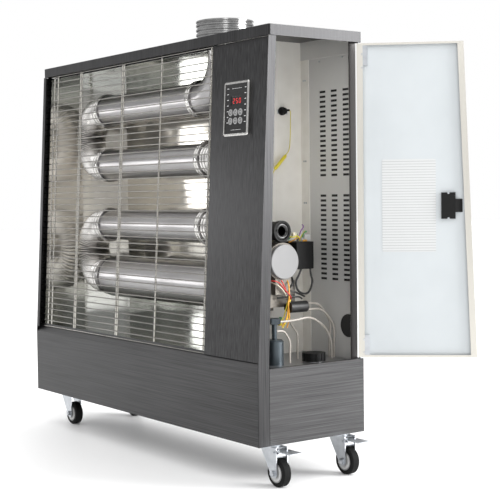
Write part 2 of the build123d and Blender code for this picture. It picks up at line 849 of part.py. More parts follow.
export_step(flue_spigot.part, "parts/flue_spigot.step")

# Fuel tank in the base, hollow, with its filler neck
tank_left = left + tank_gap_left
tank_right = right - tank_gap_right
tank_front = front + tank_gap_front
tank_rear = rear - tank_gap_rear
tank_foot = bottom + tray_sheet
tank_top = base_top - tank_gap_top
tank_middle = ((tank_left + tank_right) / 2, (tank_front + tank_rear) / 2)
neck_x = right - neck_from_right
neck_y = front + neck_behind_front
with BuildPart() as fuel_tank:
    with BuildSketch(Plane.XY.offset(tank_foot)):
        with Locations(tank_middle):
            RectangleRounded(tank_right - tank_left, tank_rear - tank_front, tank_corner)
    extrude(amount=tank_top - tank_foot)
    with BuildSketch(Plane.XY.offset(tank_top)):
        with Locations((neck_x, neck_y)):
            Circle(neck_bore / 2 + neck_wall)
    extrude(amount=neck_height)
    with BuildSketch(Plane.XY.offset(tank_foot + tank_sheet)):
        with Locations(tank_middle):
            RectangleRounded(
                tank_right - tank_left - 2 * tank_sheet,
                tank_rear - tank_front - 2 * tank_sheet,
                tank_corner - tank_sheet,
            )
    extrude(amount=tank_top - tank_foot - 2 * tank_sheet, mode=Mode.SUBTRACT)
    with BuildSketch(Plane.XY.offset(tank_top - 2 * tank_sheet)):
        with Locations((neck_x, neck_y)):
            Circle(neck_bore / 2)
    extrude(amount=neck_height + 2 * tank_sheet, mode=Mode.SUBTRACT)
fuel_tank.part.label = "fuel_tank"
export_step(fuel_tank.part, "parts/fuel_tank.step")

# Ribbed filler cap, resting on the neck
neck_top = tank_top + neck_height
cap_foot = base_top
with BuildPart() as tank_cap:
    with BuildSketch(Plane.XY.offset(cap_foot)):
        with Locations((neck_x, neck_y)):
            Circle(cap_diameter / 2)
            with PolarLocations(cap_diameter / 2, cap_grips):
                Rectangle(2 * grip_depth, 3 * grip_depth, mode=Mode.SUBTRACT)
    extrude(amount=cap_height)
    with BuildSketch(Plane.XY.offset(cap_foot)):
        with Locations((neck_x, neck_y)):
            Circle(neck_bore / 2 + neck_wall + cap_clearance)
    extrude(amount=neck_top - cap_foot, mode=Mode.SUBTRACT)
tank_cap.part.label = "tank_cap"
export_step(tank_cap.part, "parts/tank_cap.step")

# Partition between the radiant chamber and the burner compartment, with its rear flange
partition_rear = rear - sheet
tab_foot = post_top - tab_depth
with BuildPart() as partition:
    with BuildSketch(side_plane(partition_x)):
        with BuildLine():
            Polyline(
                (front_y(tank_top, tank_gap_front), tank_top),
                (front_y(base_top, tank_gap_front), base_top),
                (front_y(cover_underside, tank_gap_front), cover_underside),
                (partition_rear - sheet, cover_underside),
                (partition_rear - sheet, tab_foot),
                (partition_rear, tab_foot),
                (partition_rear, tank_top + sheet),
                (tank_rear, tank_top + sheet),
                (tank_rear, tank_top),
                close=True,
            )
        make_face()
        with Locations((tube_y, chamber_z)):
            Circle(blast_diameter / 2, mode=Mode.SUBTRACT)
    extrude(amount=partition_sheet)
    with BuildSketch(facing_plane(partition_rear)):
        with Locations((partition_x + partition_flange / 2, (tab_foot + tank_top + sheet) / 2)):
            Rectangle(partition_flange, tab_foot - tank_top - sheet)
    extrude(amount=partition_sheet)
partition.part.label = "partition_wall"
export_step(partition.part, "parts/partition_wall.step")

# Burner: blast tube through the partition, mounting plate, nozzle block and fan casing
burner_x = partition_x + partition_sheet
block_front = right - nozzle_block_from_right
block_start = burner_x + burner_plate_thickness
block_z = chamber_z - nozzle_block_drop
fan_z = bottom + fan_height
case_x1 = right - fan_case_from_right
case_x0 = case_x1 - fan_case_length
shaft_radius = shaft_diameter / 2
with BuildPart() as burner:
    with BuildSketch(side_plane(partition_x - blast_length)):
        with Locations((tube_y, chamber_z)):
            Circle(blast_diameter / 2)
            Circle(blast_diameter / 2 - blast_wall, mode=Mode.SUBTRACT)
    extrude(amount=blast_length + partition_sheet)
    with BuildSketch(side_plane(burner_x)):
        with Locations((tube_y, chamber_z - burner_plate_drop)):
            Rectangle(burner_plate_width, burner_plate_height)
    extrude(amount=burner_plate_thickness)
    with BuildSketch(side_plane(block_start)):
        with Locations((tube_y, block_z)):
            Rectangle(nozzle_block_width, nozzle_block_height)
    extrude(amount=block_front - block_start)
    with BuildSketch(side_plane(case_x0)):
        with Locations((tube_y, fan_z)):
            Circle(fan_case_diameter / 2)
        with Locations((tube_y, (fan_z + block_z) / 2)):
            Rectangle(fan_case_diameter / 2, fan_z - block_z)
    extrude(amount=fan_case_length)
    with BuildSketch(side_plane(case_x0 + fan_case_wall)):
        with Locations((tube_y, fan_z)):
            Circle(fan_case_diameter / 2 - fan_case_wall)
    extrude(amount=fan_case_length - fan_case_wall - fan_case_cheek, mode=Mode.SUBTRACT)
    with BuildSketch(side_plane(case_x1)):
        with Locations((tube_y, fan_z)):
            Circle(fan_inlet_diameter / 2)
    extrude(amount=-2 * fan_case_cheek, mode=Mode.SUBTRACT)
    with BuildSketch(side_plane(case_x0)):
        with Locations((tube_y, fan_z)):
            Circle(shaft_radius + shaft_clearance)
    extrude(amount=fan_case_wall, mode=Mode.SUBTRACT)
burner.part.label = "burner_housing"
export_step(burner.part, "parts/burner_housing.step")

# Burner fan, turning on the motor's shaft
disc_x = case_x0 + fan_case_wall + fan_disc_gap
with BuildPart() as burner_fan:
    with BuildSketch(side_plane(disc_x)):
        with Locations((tube_y, fan_z)):
            Circle(fan_disc_diameter / 2)
    extrude(amount=fan_disc_thickness)
    with BuildSketch(side_plane(disc_x)):
        with Locations((tube_y, fan_z)):
            Circle(fan_hub_diameter / 2)
    extrude(amount=fan_hub_length)
    with BuildSketch(side_plane(disc_x)):
        with Locations((tube_y, fan_z)):
            with PolarLocations((fan_disc_diameter - blade_depth) / 2 - blade_thickness, fan_blades):
                Rectangle(blade_depth, blade_thickness)
    extrude(amount=blade_length)
    with BuildSketch(side_plane(disc_x)):
        with Locations((tube_y, fan_z)):
            Circle(shaft_radius + shaft_clearance)
    extrude(amount=fan_hub_length, mode=Mode.SUBTRACT)
burner_fan.part.label = "burner_fan"
export_step(burner_fan.part, "parts/burner_fan.step")

# Motor between partition and fan casing, with the shaft that carries the fan
with BuildPart() as motor:
    with BuildSketch(side_plane(burner_x)):
        with Locations((tube_y, fan_z)):
            Circle(motor_diameter / 2)
    extrude(amount=case_x0 - burner_x)
    with BuildSketch(side_plane(case_x0)):
        with Locations((tube_y, fan_z)):
            Circle(shaft_radius)
    extrude(amount=disc_x + fan_hub_length - case_x0)
motor.part.label = "burner_motor"
export_step(motor.part, "parts/burner_motor.step")

# Pale cover of the fan casing
with BuildPart() as fan_cover:
    with BuildSketch(side_plane(case_x1)):
        with Locations((tube_y, fan_z)):
            Circle(fan_cover_diameter / 2)
    extrude(amount=fan_cover_thickness)
    fillet(fan_cover.faces().sort_by(Axis.X)[-1].edges(), fan_cover_thickness / 4)
fan_cover.part.label = "fan_cover"
export_step(fan_cover.part, "parts/fan_cover.step")

# Control box behind the fan casing
with BuildPart() as control_box:
    with BuildSketch(side_plane(burner_x)):
        with Locations((front + box_behind_front + box_depth / 2, bottom + box_foot + box_height / 2)):
            RectangleRounded(box_depth, box_height, tray_sheet)
    extrude(amount=right - box_from_right - burner_x)
control_box.part.label = "control_box"
export_step(control_box.part, "parts/control_box.step")

# Air intake pipe with its open ring
intake_z = bottom + intake_height
intake_x1 = right - intake_from_right
with BuildPart() as intake:
    with BuildSketch(side_plane(burner_x)):
        with Locations((tube_y, intake_z)):
            Circle(intake_diameter / 2)
    extrude(amount=intake_x1 - burner_x)
    with BuildSketch(side_plane(intake_x1 - intake_ring_length)):
        with Locations((tube_y, intake_z)):
            Circle(intake_ring_diameter / 2)
    extrude(amount=intake_ring_length)
    with BuildSketch(side_plane(intake_x1)):
        with Locations((tube_y, intake_z)):
            Circle(intake_diameter / 2 - intake_wall)
    extrude(amount=-(intake_x1 - burner_x - intake_wall), mode=Mode.SUBTRACT)
intake.part.label = "air_intake"
export_step(intake.part, "parts/air_intake.step")

# Fuel pump lying across the end of the nozzle block, on its saddle
pump_x = right - pump_from_right
pump_y = front + pump_behind_front
pump_z = bottom + pump_height
with BuildPart() as pump:
    with BuildSketch(Plane(origin=(pump_x, pump_y, pump_z), x_dir=(1, 0, 0), z_dir=(0, 1, 0))):
        Circle(pump_diameter / 2)
    extrude(amount=pump_length)
    with BuildSketch(Plane(origin=(pump_x, pump_y, pump_z), x_dir=(1, 0, 0), z_dir=(0, 1, 0))):
        with Locations(((block_front - pump_x) / 2, 0)):
            Rectangle(pump_x - block_front, pump_diameter / 2)
    extrude(amount=tube_y + nozzle_block_width / 2 - pump_y)
pump.part.label = "fuel_pump"
export_step(pump.part, "parts/fuel_pump.step")

# Fuel filter standing on the tank, with its neck and nut
filter_place = (right - filter_from_right, front + filter_behind_front)
filter_top = tank_top + filter_height
nut_foot = filter_top + filter_neck_height
with BuildPart() as fuel_filter:
    with BuildSketch(Plane.XY.offset(tank_top)):
        with Locations(filter_place):
            Circle(filter_diameter / 2)
    extrude(amount=filter_height)
    chamfer(fuel_filter.faces().sort_by(Axis.Z)[-1].edges(), filter_neck_diameter / 3)
    with BuildSketch(Plane.XY.offset(filter_top)):
        with Locations(filter_place):
            Circle(filter_neck_diameter / 2)
    extrude(amount=filter_neck_height)
    with BuildSketch(Plane.XY.offset(nut_foot)):
        with Locations(filter_place):
            RegularPolygon(filter_nut_diameter / 2, 6, major_radius=False)
    extrude(amount=filter_nut_height)
fuel_filter.part.label = "fuel_filter"
export_step(fuel_filter.part, "parts/fuel_filter.step")


def bend_radii(route):
    """Bend radius at each inner point of a route, from the shorter run beside it and the turn."""
    radii = []
    for before, corner, after in zip(route, route[1:], route[2:]):
        run_in = Vector(*corner) - Vector(*before)
        run_out = Vector(*after) - Vector(*corner)
        half_turn = radians(run_in.get_angle(run_out)) / 2
        radii.append(0.45 * min(run_in.length, run_out.length) / tan(half_turn))
    return radii


# Fuel hoses between pump, filter, nozzle block and tank
with BuildPart() as fuel_hoses:
    for from_right, stations in hose_routes.items():
        route = [(front + depth, bottom + height) for depth, height in stations]
        print("hose", from_right, [round(radius, 1) for radius in bend_radii(route)])
        with BuildLine(side_plane(right - from_right)) as hose_path:
            FilletPolyline(*route, radius=bend_radii(route))
        with BuildSketch(Plane(hose_path.wires()[0] @ 0, z_dir=hose_path.wires()[0] % 0)):
            Circle(hose_diameter / 2)
        sweep(path=hose_path.wires()[0])
fuel_hoses.part.label = "fuel_hoses"
export_step(fuel_hoses.part, "parts/fuel_hoses.step")

# Wire loop under the control box, the overheat sensor on the partition and its wire
with BuildPart() as wiring:
    for from_right, stations in wire_routes.items():
        route = [(front + depth, bottom + height) for depth, height in stations]
        print("wire", from_right, [round(radius, 1) for radius in bend_radii(route)])
        with BuildLine(side_plane(right - from_right)) as wire_path:
            FilletPolyline(*route, radius=bend_radii(route))
        with BuildSketch(Plane(wire_path.wires()[0] @ 0, z_dir=wire_path.wires()[0] % 0)):
            Circle(wire_loop_diameter / 2)
        sweep(path=wire_path.wires()[0])
    with BuildSketch(side_plane(burner_x)):
        with Locations((front + sensor_behind_front, bottom + sensor_height)):
            Rectangle(sensor_size[1], sensor_size[2])
    extrude(amount=sensor_size[0] + wire_loop_diameter)
wiring.part.label = "wiring"
export_step(wiring.part, "parts/wiring.step")

# Service door, standing open. Its sketch plane runs along the leaf from the hinge axis,
# its y is the height above the base's underside, and it faces the leaf's inner side
door_plane = Plane(
    origin=(hinge_x, hinge_y, bottom),
    x_dir=(cos(door_angle), sin(door_angle), 0),
    z_dir=(sin(door_angle), -cos(door_angle), 0),
)
door_outside = door_plane.offset(-hinge_inset)
lip_plane = door_outside.offset(door_thickness - door_sheet)
liner_plane = lip_plane.offset(-liner_recess - liner_sheet)
hinge_middles = [door_foot + door_sheet + hinge_height / 2, door_head - door_sheet - hinge_height / 2]
hinge_along = hinge_width / 2 + door_sheet - hinge_overhang
latch_middle = (latch_along, latch_height)
latch_hole_width = latch_width - 2 * latch_rim
latch_hole_length = latch_length - 2 * latch_rim


def leaf_corners(sides, ends):
    """Corners of the leaf, drawn in from its two long edges and from its ends."""
    foot = door_foot + ends
    head = door_head - ends
    return [
        (sides - hinge_overhang, foot),
        (door_length(foot) - sides, foot),
        (door_length(head) - sides, head),
        (sides - hinge_overhang, head),
    ]


# Door pan, open inside between its lips
with BuildPart() as door_pan:
    with BuildSketch(door_outside):
        Polygon(*leaf_corners(0, 0), align=None)
    extrude(amount=door_thickness)
    with BuildSketch(door_outside.offset(door_sheet)):
        Polygon(*leaf_corners(door_sheet, door_sheet), align=None)
    extrude(amount=door_thickness - 2 * door_sheet, mode=Mode.SUBTRACT)
    with BuildSketch(lip_plane):
        Polygon(*leaf_corners(door_lip, door_lip_ends), align=None)
    extrude(amount=door_sheet, mode=Mode.SUBTRACT)
    with BuildSketch(Plane.XY.offset(bottom + door_foot)):
        with Locations((hinge_x, hinge_y)):
            Circle(hinge_pin_diameter / 2 + hinge_hole_gap)
    extrude(amount=door_head - door_foot, mode=Mode.SUBTRACT)
    with BuildSketch(door_outside):
        with Locations(latch_middle):
            Rectangle(latch_hole_width, latch_hole_length)
    extrude(amount=door_sheet, mode=Mode.SUBTRACT)
door_pan.part.label = "door_pan"
export_step(door_pan.part, "parts/door_pan.step")

# Door liner, let in between the walls of the pan
with BuildPart() as door_liner:
    with BuildSketch(liner_plane):
        Polygon(*leaf_corners(door_sheet, door_sheet), align=None)
        with Locations(*[(hinge_along, height) for height in hinge_middles]):
            Rectangle(hinge_width, hinge_height, mode=Mode.SUBTRACT)
        with Locations(latch_middle):
            Rectangle(latch_hole_width, latch_hole_length, mode=Mode.SUBTRACT)
    extrude(amount=liner_sheet)
door_liner.part.label = "door_liner"
export_step(door_liner.part, "parts/door_liner.step")

# Hinge brackets in the leaf's two corners
with BuildPart() as door_hinges:
    with BuildSketch(door_outside.offset(door_sheet)):
        with Locations(*[(hinge_along, height) for height in hinge_middles]):
            Rectangle(hinge_width, hinge_height)
    extrude(amount=door_thickness - 2 * door_sheet)
    with BuildSketch(Plane.XY.offset(bottom + door_foot)):
        with Locations((hinge_x, hinge_y)):
            Circle(hinge_pin_diameter / 2 + hinge_pin_clearance)
    extrude(amount=door_head - door_foot, mode=Mode.SUBTRACT)
door_hinges.part.label = "door_hinges"
export_step(door_hinges.part, "parts/door_hinges.step")

# Hinge pins: one on the base's flange with its washer, one hanging from the cover
with BuildPart() as hinge_pins:
    with BuildSketch(Plane.XY.offset(bottom + base_side_height)):
        with Locations((hinge_x, hinge_y)):
            Circle(hinge_pin_diameter / 2)
    extrude(amount=door_bottom_gap + hinge_height)
    with BuildSketch(Plane.XY.offset(bottom + base_side_height)):
        with Locations((hinge_x, hinge_y)):
            Circle(washer_diameter / 2)
    extrude(amount=door_bottom_gap - washer_gap)
    with BuildSketch(Plane.XY.offset(cover_underside)):
        with Locations((hinge_x, hinge_y)):
            Circle(hinge_pin_diameter / 2)
    extrude(amount=-(cover_underside - bottom - door_head + hinge_height))
hinge_pins.part.label = "hinge_pins"
export_step(hinge_pins.part, "parts/hinge_pins.step")

# Latch body through the leaf: flange and finger pocket outside, bevelled tongue inside
lever_axis_x = latch_along - lever_pivot
lever_axis_y = hinge_inset + latch_rim - lever_pin_diameter / 2
pocket_width = latch_hole_width - 2 * latch_rim
pocket_length = latch_hole_length - 2 * latch_rim
lever_pin_length = pocket_length + 2 * lever_pin_reach
tongue_start = latch_along + latch_hole_width / 2


def plan_plane(height):
    """Horizontal plane through the leaf: x along it, y towards its outer side."""
    return Plane(
        origin=(hinge_x, hinge_y, bottom + height),
        x_dir=(cos(door_angle), sin(door_angle), 0),
        z_dir=(0, 0, 1),
    )


with BuildPart() as latch_body:
    with BuildSketch(door_outside.offset(-latch_rim)):
        with Locations(latch_middle):
            Rectangle(latch_width, latch_length)
    extrude(amount=latch_rim)
    with BuildSketch(door_outside):
        with Locations(latch_middle):
            Rectangle(latch_hole_width, latch_hole_length)
    extrude(amount=latch_depth)
    with BuildSketch(plan_plane(latch_height - tongue_height / 2)):
        with BuildLine():
            Polyline(
                (tongue_start, hinge_inset - latch_depth),
                (tongue_start, hinge_inset - latch_depth + liner_recess - liner_sheet),
                (tongue_start + tongue_reach, hinge_inset - latch_depth + liner_recess - liner_sheet),
                close=True,
            )
        make_face()
    extrude(amount=tongue_height)
    with BuildSketch(door_outside.offset(-latch_rim)):
        with Locations(latch_middle):
            Rectangle(pocket_width, pocket_length)
    extrude(amount=pocket_depth, mode=Mode.SUBTRACT)
    with BuildSketch(plan_plane(latch_height - lever_pin_length / 2 - lever_gap)):
        with Locations((lever_axis_x, lever_axis_y)):
            Circle(lever_pin_diameter / 2 + lever_pin_clearance)
    extrude(amount=lever_pin_length + 2 * lever_gap, mode=Mode.SUBTRACT)
latch_body.part.label = "latch_body"
export_step(latch_body.part, "parts/latch_body.step")

# Latch lever, a flap in the pocket on its upright pin
with BuildPart() as latch_lever:
    with BuildSketch(door_outside.offset(-latch_rim)):
        with Locations(latch_middle):
            Rectangle(pocket_width - 2 * lever_gap, pocket_length - 2 * lever_gap)
    extrude(amount=lever_thickness)
    with BuildSketch(plan_plane(latch_height - lever_pin_length / 2)):
        with Locations((lever_axis_x, lever_axis_y)):
            Circle(lever_pin_diameter / 2)
    extrude(amount=lever_pin_length)
latch_lever.part.label = "latch_lever"
export_step(latch_lever.part, "parts/latch_lever.step")

# Casters: mounting plates with raceway and kingpin
kingpins = {
    "front_right": (right - caster_inset_side, front + caster_inset_front),
    "rear_right": (right - caster_inset_side, rear - caster_inset_rear),
    "front_left": (left + caster_inset_left, front + caster_inset_front),
    "rear_left": (left + caster_inset_left, rear - caster_inset_rear),
}
raceway_foot = bottom - plate_thickness - raceway_height
bridge_top = raceway_foot - swivel_gap
bridge_foot = bridge_top - fork_sheet
pin_head_top = bridge_foot - swivel_gap
with BuildPart() as caster_plates:
    for kingpin in kingpins.values():
        with BuildSketch(Plane.XY.offset(bottom)):
            with Locations(kingpin):
                RectangleRounded(plate_size, plate_size, plate_thickness)
        extrude(amount=-plate_thickness)
        with BuildSketch(Plane.XY.offset(raceway_foot)):
            with Locations(kingpin):
                Circle(swivel_radius)
        extrude(amount=raceway_height)
        with BuildSketch(Plane.XY.offset(pin_head_top)):
            with Locations(kingpin):
                Circle(kingpin_diameter / 2)
        extrude(amount=raceway_foot - pin_head_top)
        with BuildSketch(Plane.XY.offset(pin_head_top)):
            with Locations(kingpin):
                Circle(kingpin_head_diameter / 2)
        extrude(amount=-kingpin_head_height)
caster_plates.part.label = "caster_plates"
export_step(caster_plates.part, "parts/caster_plates.step")

# Caster forks with their axles, wheel hubs, tyres, and the brake pedals of the right pair
axle_z = wheel_diameter / 2
leg_inside = wheel_width / 2 + fork_gap
leg_outside = leg_inside + fork_sheet
axle_end = leg_outside + axle_head_height
for corner, (kingpin_x, kingpin_y) in kingpins.items():
    axle = (kingpin_x + caster_trail, axle_z)
    pedal_pivot = (kingpin_x + pedal_pivot_offset, pedal_pivot_height)
    braked = corner.endswith("right")
    with BuildPart() as fork:
        with BuildSketch(Plane.XY.offset(bridge_foot)):
            with Locations((kingpin_x, kingpin_y)):
                Circle(swivel_radius)
        extrude(amount=fork_sheet)
        for leg_y in (kingpin_y + leg_outside, kingpin_y - leg_inside):
            with BuildSketch(facing_plane(leg_y)):
                with Locations(axle):
                    Circle(fork_boss / 2)
                with Locations((kingpin_x + fork_offset, bridge_foot + fork_sheet / 2)):
                    Rectangle(fork_length, fork_sheet)
                make_hull()
                if braked:
                    with Locations(pedal_pivot):
                        Circle(pedal_pin_diameter / 2 + axle_clearance, mode=Mode.SUBTRACT)
            extrude(amount=fork_sheet)
        with BuildSketch(Plane.XY.offset(bridge_foot)):
            with Locations((kingpin_x, kingpin_y)):
                Circle(kingpin_diameter / 2 + axle_clearance)
        extrude(amount=fork_sheet, mode=Mode.SUBTRACT)
        with BuildSketch(facing_plane(kingpin_y + leg_outside)):
            with Locations(axle):
                Circle(axle_diameter / 2)
        extrude(amount=2 * leg_outside)
        for head_y in (kingpin_y + axle_end, kingpin_y - leg_outside):
            with BuildSketch(facing_plane(head_y)):
                with Locations(axle):
                    Circle(axle_head_diameter / 2)
            extrude(amount=axle_head_height)
    fork.part.label = f"fork_{corner}"
    export_step(fork.part, f"parts/fork_{corner}.step")

    with BuildPart() as hub:
        with BuildSketch(facing_plane(kingpin_y + wheel_width / 2)):
            with Locations(axle):
                Circle(hub_diameter / 2)
                Circle(axle_diameter / 2 + axle_clearance, mode=Mode.SUBTRACT)
        extrude(amount=wheel_width)
    hub.part.label = f"hub_{corner}"
    export_step(hub.part, f"parts/hub_{corner}.step")

    with BuildPart() as tyre:
        with BuildSketch(facing_plane(kingpin_y + wheel_width / 2)):
            with Locations(axle):
                Circle(wheel_diameter / 2)
        extrude(amount=wheel_width)
        chamfer(tyre.edges().filter_by(GeomType.CIRCLE), tyre_edge)
        with BuildSketch(facing_plane(kingpin_y + wheel_width / 2)):
            with Locations(axle):
                Circle(hub_diameter / 2)
        extrude(amount=wheel_width, mode=Mode.SUBTRACT)
    tyre.part.label = f"tyre_{corner}"
    export_step(tyre.part, f"parts/tyre_{corner}.step")

    if braked:
        arm_start = pedal_pivot[0] - pedal_pin_diameter
        arm_length = kingpin_x + pedal_arm_end - arm_start
        arm_top = pedal_pivot_height + pedal_pin_diameter
        pad_z = arm_top - pedal_sheet - brake_pad_depth / 2
        pad_start = kingpin_x + pedal_arm_end - pedal_sheet
        pad_length = kingpin_x + pedal_reach - pad_start
        with BuildPart() as pedal:
            with BuildSketch(facing_plane(kingpin_y + leg_outside + fork_sheet)):
                with Locations(pedal_pivot):
                    Circle(pedal_pin_diameter / 2)
            extrude(amount=2 * (leg_outside + fork_sheet))
            with BuildSketch(facing_plane(kingpin_y + pedal_arm_width / 2)):
                with Locations((arm_start + arm_length / 2, arm_top - pedal_arm_depth / 2)):
                    Rectangle(arm_length, pedal_arm_depth)
                with Locations((arm_start + brake_pad_length / 2, pad_z)):
                    Rectangle(brake_pad_length, brake_pad_depth)
            extrude(amount=pedal_arm_width)
            with BuildSketch(Plane.XY.offset(arm_top - pedal_sheet)):
                with Locations((kingpin_x + pedal_reach - pad_length / 2, kingpin_y)):
                    Rectangle(pad_length, pedal_width)
            extrude(amount=pedal_sheet)
        pedal.part.label = f"pedal_{corner}"
        export_step(pedal.part, f"parts/pedal_{corner}.step")
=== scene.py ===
# %% [markdown]
# # A diesel infrared heater
# The heater is a tall, thin cabinet of sheet steel on four swivel casters. Its front is a wire
# grille over a polished reflector with hot tubes, and the door at its right end stands open on the
# burner. The solid model is loaded first and stays fixed. Everything made here is placed by it.

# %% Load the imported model
import math
import bpy
from mathutils import Matrix, Vector


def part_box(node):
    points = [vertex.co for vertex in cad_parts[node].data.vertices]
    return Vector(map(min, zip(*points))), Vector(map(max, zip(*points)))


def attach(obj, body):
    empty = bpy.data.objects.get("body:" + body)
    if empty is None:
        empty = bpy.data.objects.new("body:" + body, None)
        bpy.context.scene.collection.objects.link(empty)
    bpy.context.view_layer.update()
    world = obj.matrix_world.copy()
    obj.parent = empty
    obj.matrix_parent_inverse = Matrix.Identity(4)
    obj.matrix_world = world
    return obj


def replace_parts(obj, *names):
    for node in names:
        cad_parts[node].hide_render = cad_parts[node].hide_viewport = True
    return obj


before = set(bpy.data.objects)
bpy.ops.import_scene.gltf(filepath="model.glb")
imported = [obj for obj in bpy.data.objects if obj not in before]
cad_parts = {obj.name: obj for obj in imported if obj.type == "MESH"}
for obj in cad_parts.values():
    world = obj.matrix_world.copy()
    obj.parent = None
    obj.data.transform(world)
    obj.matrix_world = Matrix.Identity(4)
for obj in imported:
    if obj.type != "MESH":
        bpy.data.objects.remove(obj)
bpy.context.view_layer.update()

scene = bpy.context.scene

# %% [markdown]
# ## Camera
# The photograph looks at the heater from its right end, 54 degrees round from the front and a
# little above the middle. The place and the lens were worked out from the cabinet's edges, so the
# camera is given as an eye point and a looking direction, with the picture's slight roll.

# %% Camera
eye = Vector((2.5335, -1.7834, 0.640))
round_angle, tip_angle, roll_angle = (math.radians(a) for a in (53.99, -2.51, -0.67))
looking = Vector((
    -math.sin(round_angle) * math.cos(tip_angle),
    math.cos(round_angle) * math.cos(tip_angle),
    math.sin(tip_angle),
))
level_right = Vector((math.cos(round_angle), math.sin(round_angle), 0))
level_up = level_right.cross(looking)
picture_right = math.cos(roll_angle) * level_right + math.sin(roll_angle) * level_up
picture_up = math.cos(roll_angle) * level_up - math.sin(roll_angle) * level_right
camera = bpy.data.objects.new("camera", bpy.data.cameras.new("camera"))
camera.data.lens = 86.5
camera.data.sensor_width = 36
camera.matrix_world = (
    Matrix.Translation(eye) @ Matrix((picture_right, picture_up, -looking)).transposed().to_4x4()
)
scene.collection.objects.link(camera)
scene.camera = camera
print("camera stands", round(eye.length, 2), "m from the middle of the floor")

# %% [markdown]
# ## Writing materials as sums
# A procedural material is a web of small nodes. Wiring them one by one hides what they do, so one
# small class wraps a socket: adding or multiplying two wrapped sockets adds the Math node that
# does it. A second class is the finish itself, and one method of it makes every other node.

# %% A socket that can be added and multiplied
class Signal:
    def __init__(self, finish, socket):
        self.finish = finish
        self.socket = socket

    def sum(self, operation, first, second):
        return self.finish.node("ShaderNodeMath", {"operation": operation}, {0: first, 1: second})

    def __add__(self, other):
        return self.sum("ADD", self, other)

    def __radd__(self, other):
        return self.sum("ADD", other, self)

    def __sub__(self, other):
        return self.sum("SUBTRACT", self, other)

    def __rsub__(self, other):
        return self.sum("SUBTRACT", other, self)

    def __mul__(self, other):
        return self.sum("MULTIPLY", self, other)

    def __rmul__(self, other):
        return self.sum("MULTIPLY", other, self)

    def __mod__(self, other):
        return self.sum("FLOORED_MODULO", self, other)

    def __gt__(self, other):
        return self.sum("GREATER_THAN", self, other)

    def __lt__(self, other):
        return self.sum("LESS_THAN", self, other)

# %% A finish, which is one material
class Finish:
    def __init__(self, name, **constants):
        self.material = bpy.data.materials.new(name)
        self.material.use_nodes = True
        self.tree = self.material.node_tree
        self.shader = self.tree.nodes["Principled BSDF"]
        for socket, value in constants.items():
            self.shader.inputs[socket.replace("_", " ")].default_value = value

    def node(self, kind, settings, sockets, output=0):
        made = self.tree.nodes.new(kind)
        for setting, value in settings.items():
            if setting == "stops":
                while len(made.color_ramp.elements) < len(value):
                    made.color_ramp.elements.new(0.5)
                for stop, (place, colour) in zip(made.color_ramp.elements, value):
                    stop.position = place
                    stop.color = colour
            else:
                setattr(made, setting, value)
        for socket, value in sockets.items():
            if isinstance(value, Signal):
                self.tree.links.new(value.socket, made.inputs[socket])
            else:
                made.inputs[socket].default_value = value
        return Signal(self, made.outputs[output])

    def place(self, scale=(1, 1, 1)):
        here = self.node("ShaderNodeTexCoord", {}, {}, "Object")
        return self.node("ShaderNodeMapping", {}, {"Vector": here, "Scale": scale})

    def noise(self, scale, detail=3.0, place=None):
        return self.node(
            "ShaderNodeTexNoise", {},
            {"Vector": place or self.place(), "Scale": scale, "Detail": detail},
        )

    def along(self, axis):
        return self.node("ShaderNodeSeparateXYZ", {}, {0: self.place()}, axis)

    def blend(self, share, first, second):
        colours = {6: first, 7: second}
        return self.node("ShaderNodeMix", {"data_type": "RGBA"}, {0: share, **colours}, 2)

    def shades(self, share, *stops):
        return self.node("ShaderNodeValToRGB", {"stops": stops}, {0: share})

    def bump(self, height, depth, strength=1.0):
        normal = self.node(
            "ShaderNodeBump", {}, {"Height": height, "Distance": depth, "Strength": strength}
        )
        self.feed("Normal", normal)

    def feed(self, socket, signal):
        self.tree.links.new(signal.socket, self.shader.inputs[socket])


def tone(red, green=None, blue=None):
    green = red if green is None else green
    return (red, green, red if blue is None else blue, 1.0)

# %% [markdown]
# ## Studio
# The photograph has a white ground and a soft, even light with darker surroundings that the metal
# mirrors. A sky that is bright overhead and dimmer at the horizon gives both: the floor stays
# white and the upright steel stays dark. A large soft panel lights the door's end, and two small
# ones lift the grille and the faces towards the camera.

# %% Studio light
world = bpy.data.worlds.new("studio")
scene.world = world
world.use_nodes = True
sky = world.node_tree
sky_direction = sky.nodes.new("ShaderNodeTexCoord")
sky_height = sky.nodes.new("ShaderNodeSeparateXYZ")
sky_ramp = sky.nodes.new("ShaderNodeValToRGB")
sky_ramp.color_ramp.elements[0].position = 0.0
sky_ramp.color_ramp.elements[0].color = tone(0.15, 0.15, 0.155)
sky_ramp.color_ramp.elements[1].position = 0.6
sky_ramp.color_ramp.elements[1].color = tone(1.0)
lit_sky = sky.nodes.new("ShaderNodeBackground")
lit_sky.inputs["Strength"].default_value = 1.6
white_page = sky.nodes.new("ShaderNodeBackground")
white_page.inputs["Color"].default_value = tone(1.0)
ray_kind = sky.nodes.new("ShaderNodeLightPath")
either_sky = sky.nodes.new("ShaderNodeMixShader")
sky_output = sky.nodes["World Output"]
sky.links.new(sky_direction.outputs["Generated"], sky_height.inputs[0])
sky.links.new(sky_height.outputs["Z"], sky_ramp.inputs[0])
sky.links.new(sky_ramp.outputs[0], lit_sky.inputs["Color"])
sky.links.new(ray_kind.outputs["Is Camera Ray"], either_sky.inputs[0])
sky.links.new(lit_sky.outputs[0], either_sky.inputs[1])
sky.links.new(white_page.outputs[0], either_sky.inputs[2])
sky.links.new(either_sky.outputs[0], sky_output.inputs["Surface"])
scene.view_settings.view_transform = "Standard"


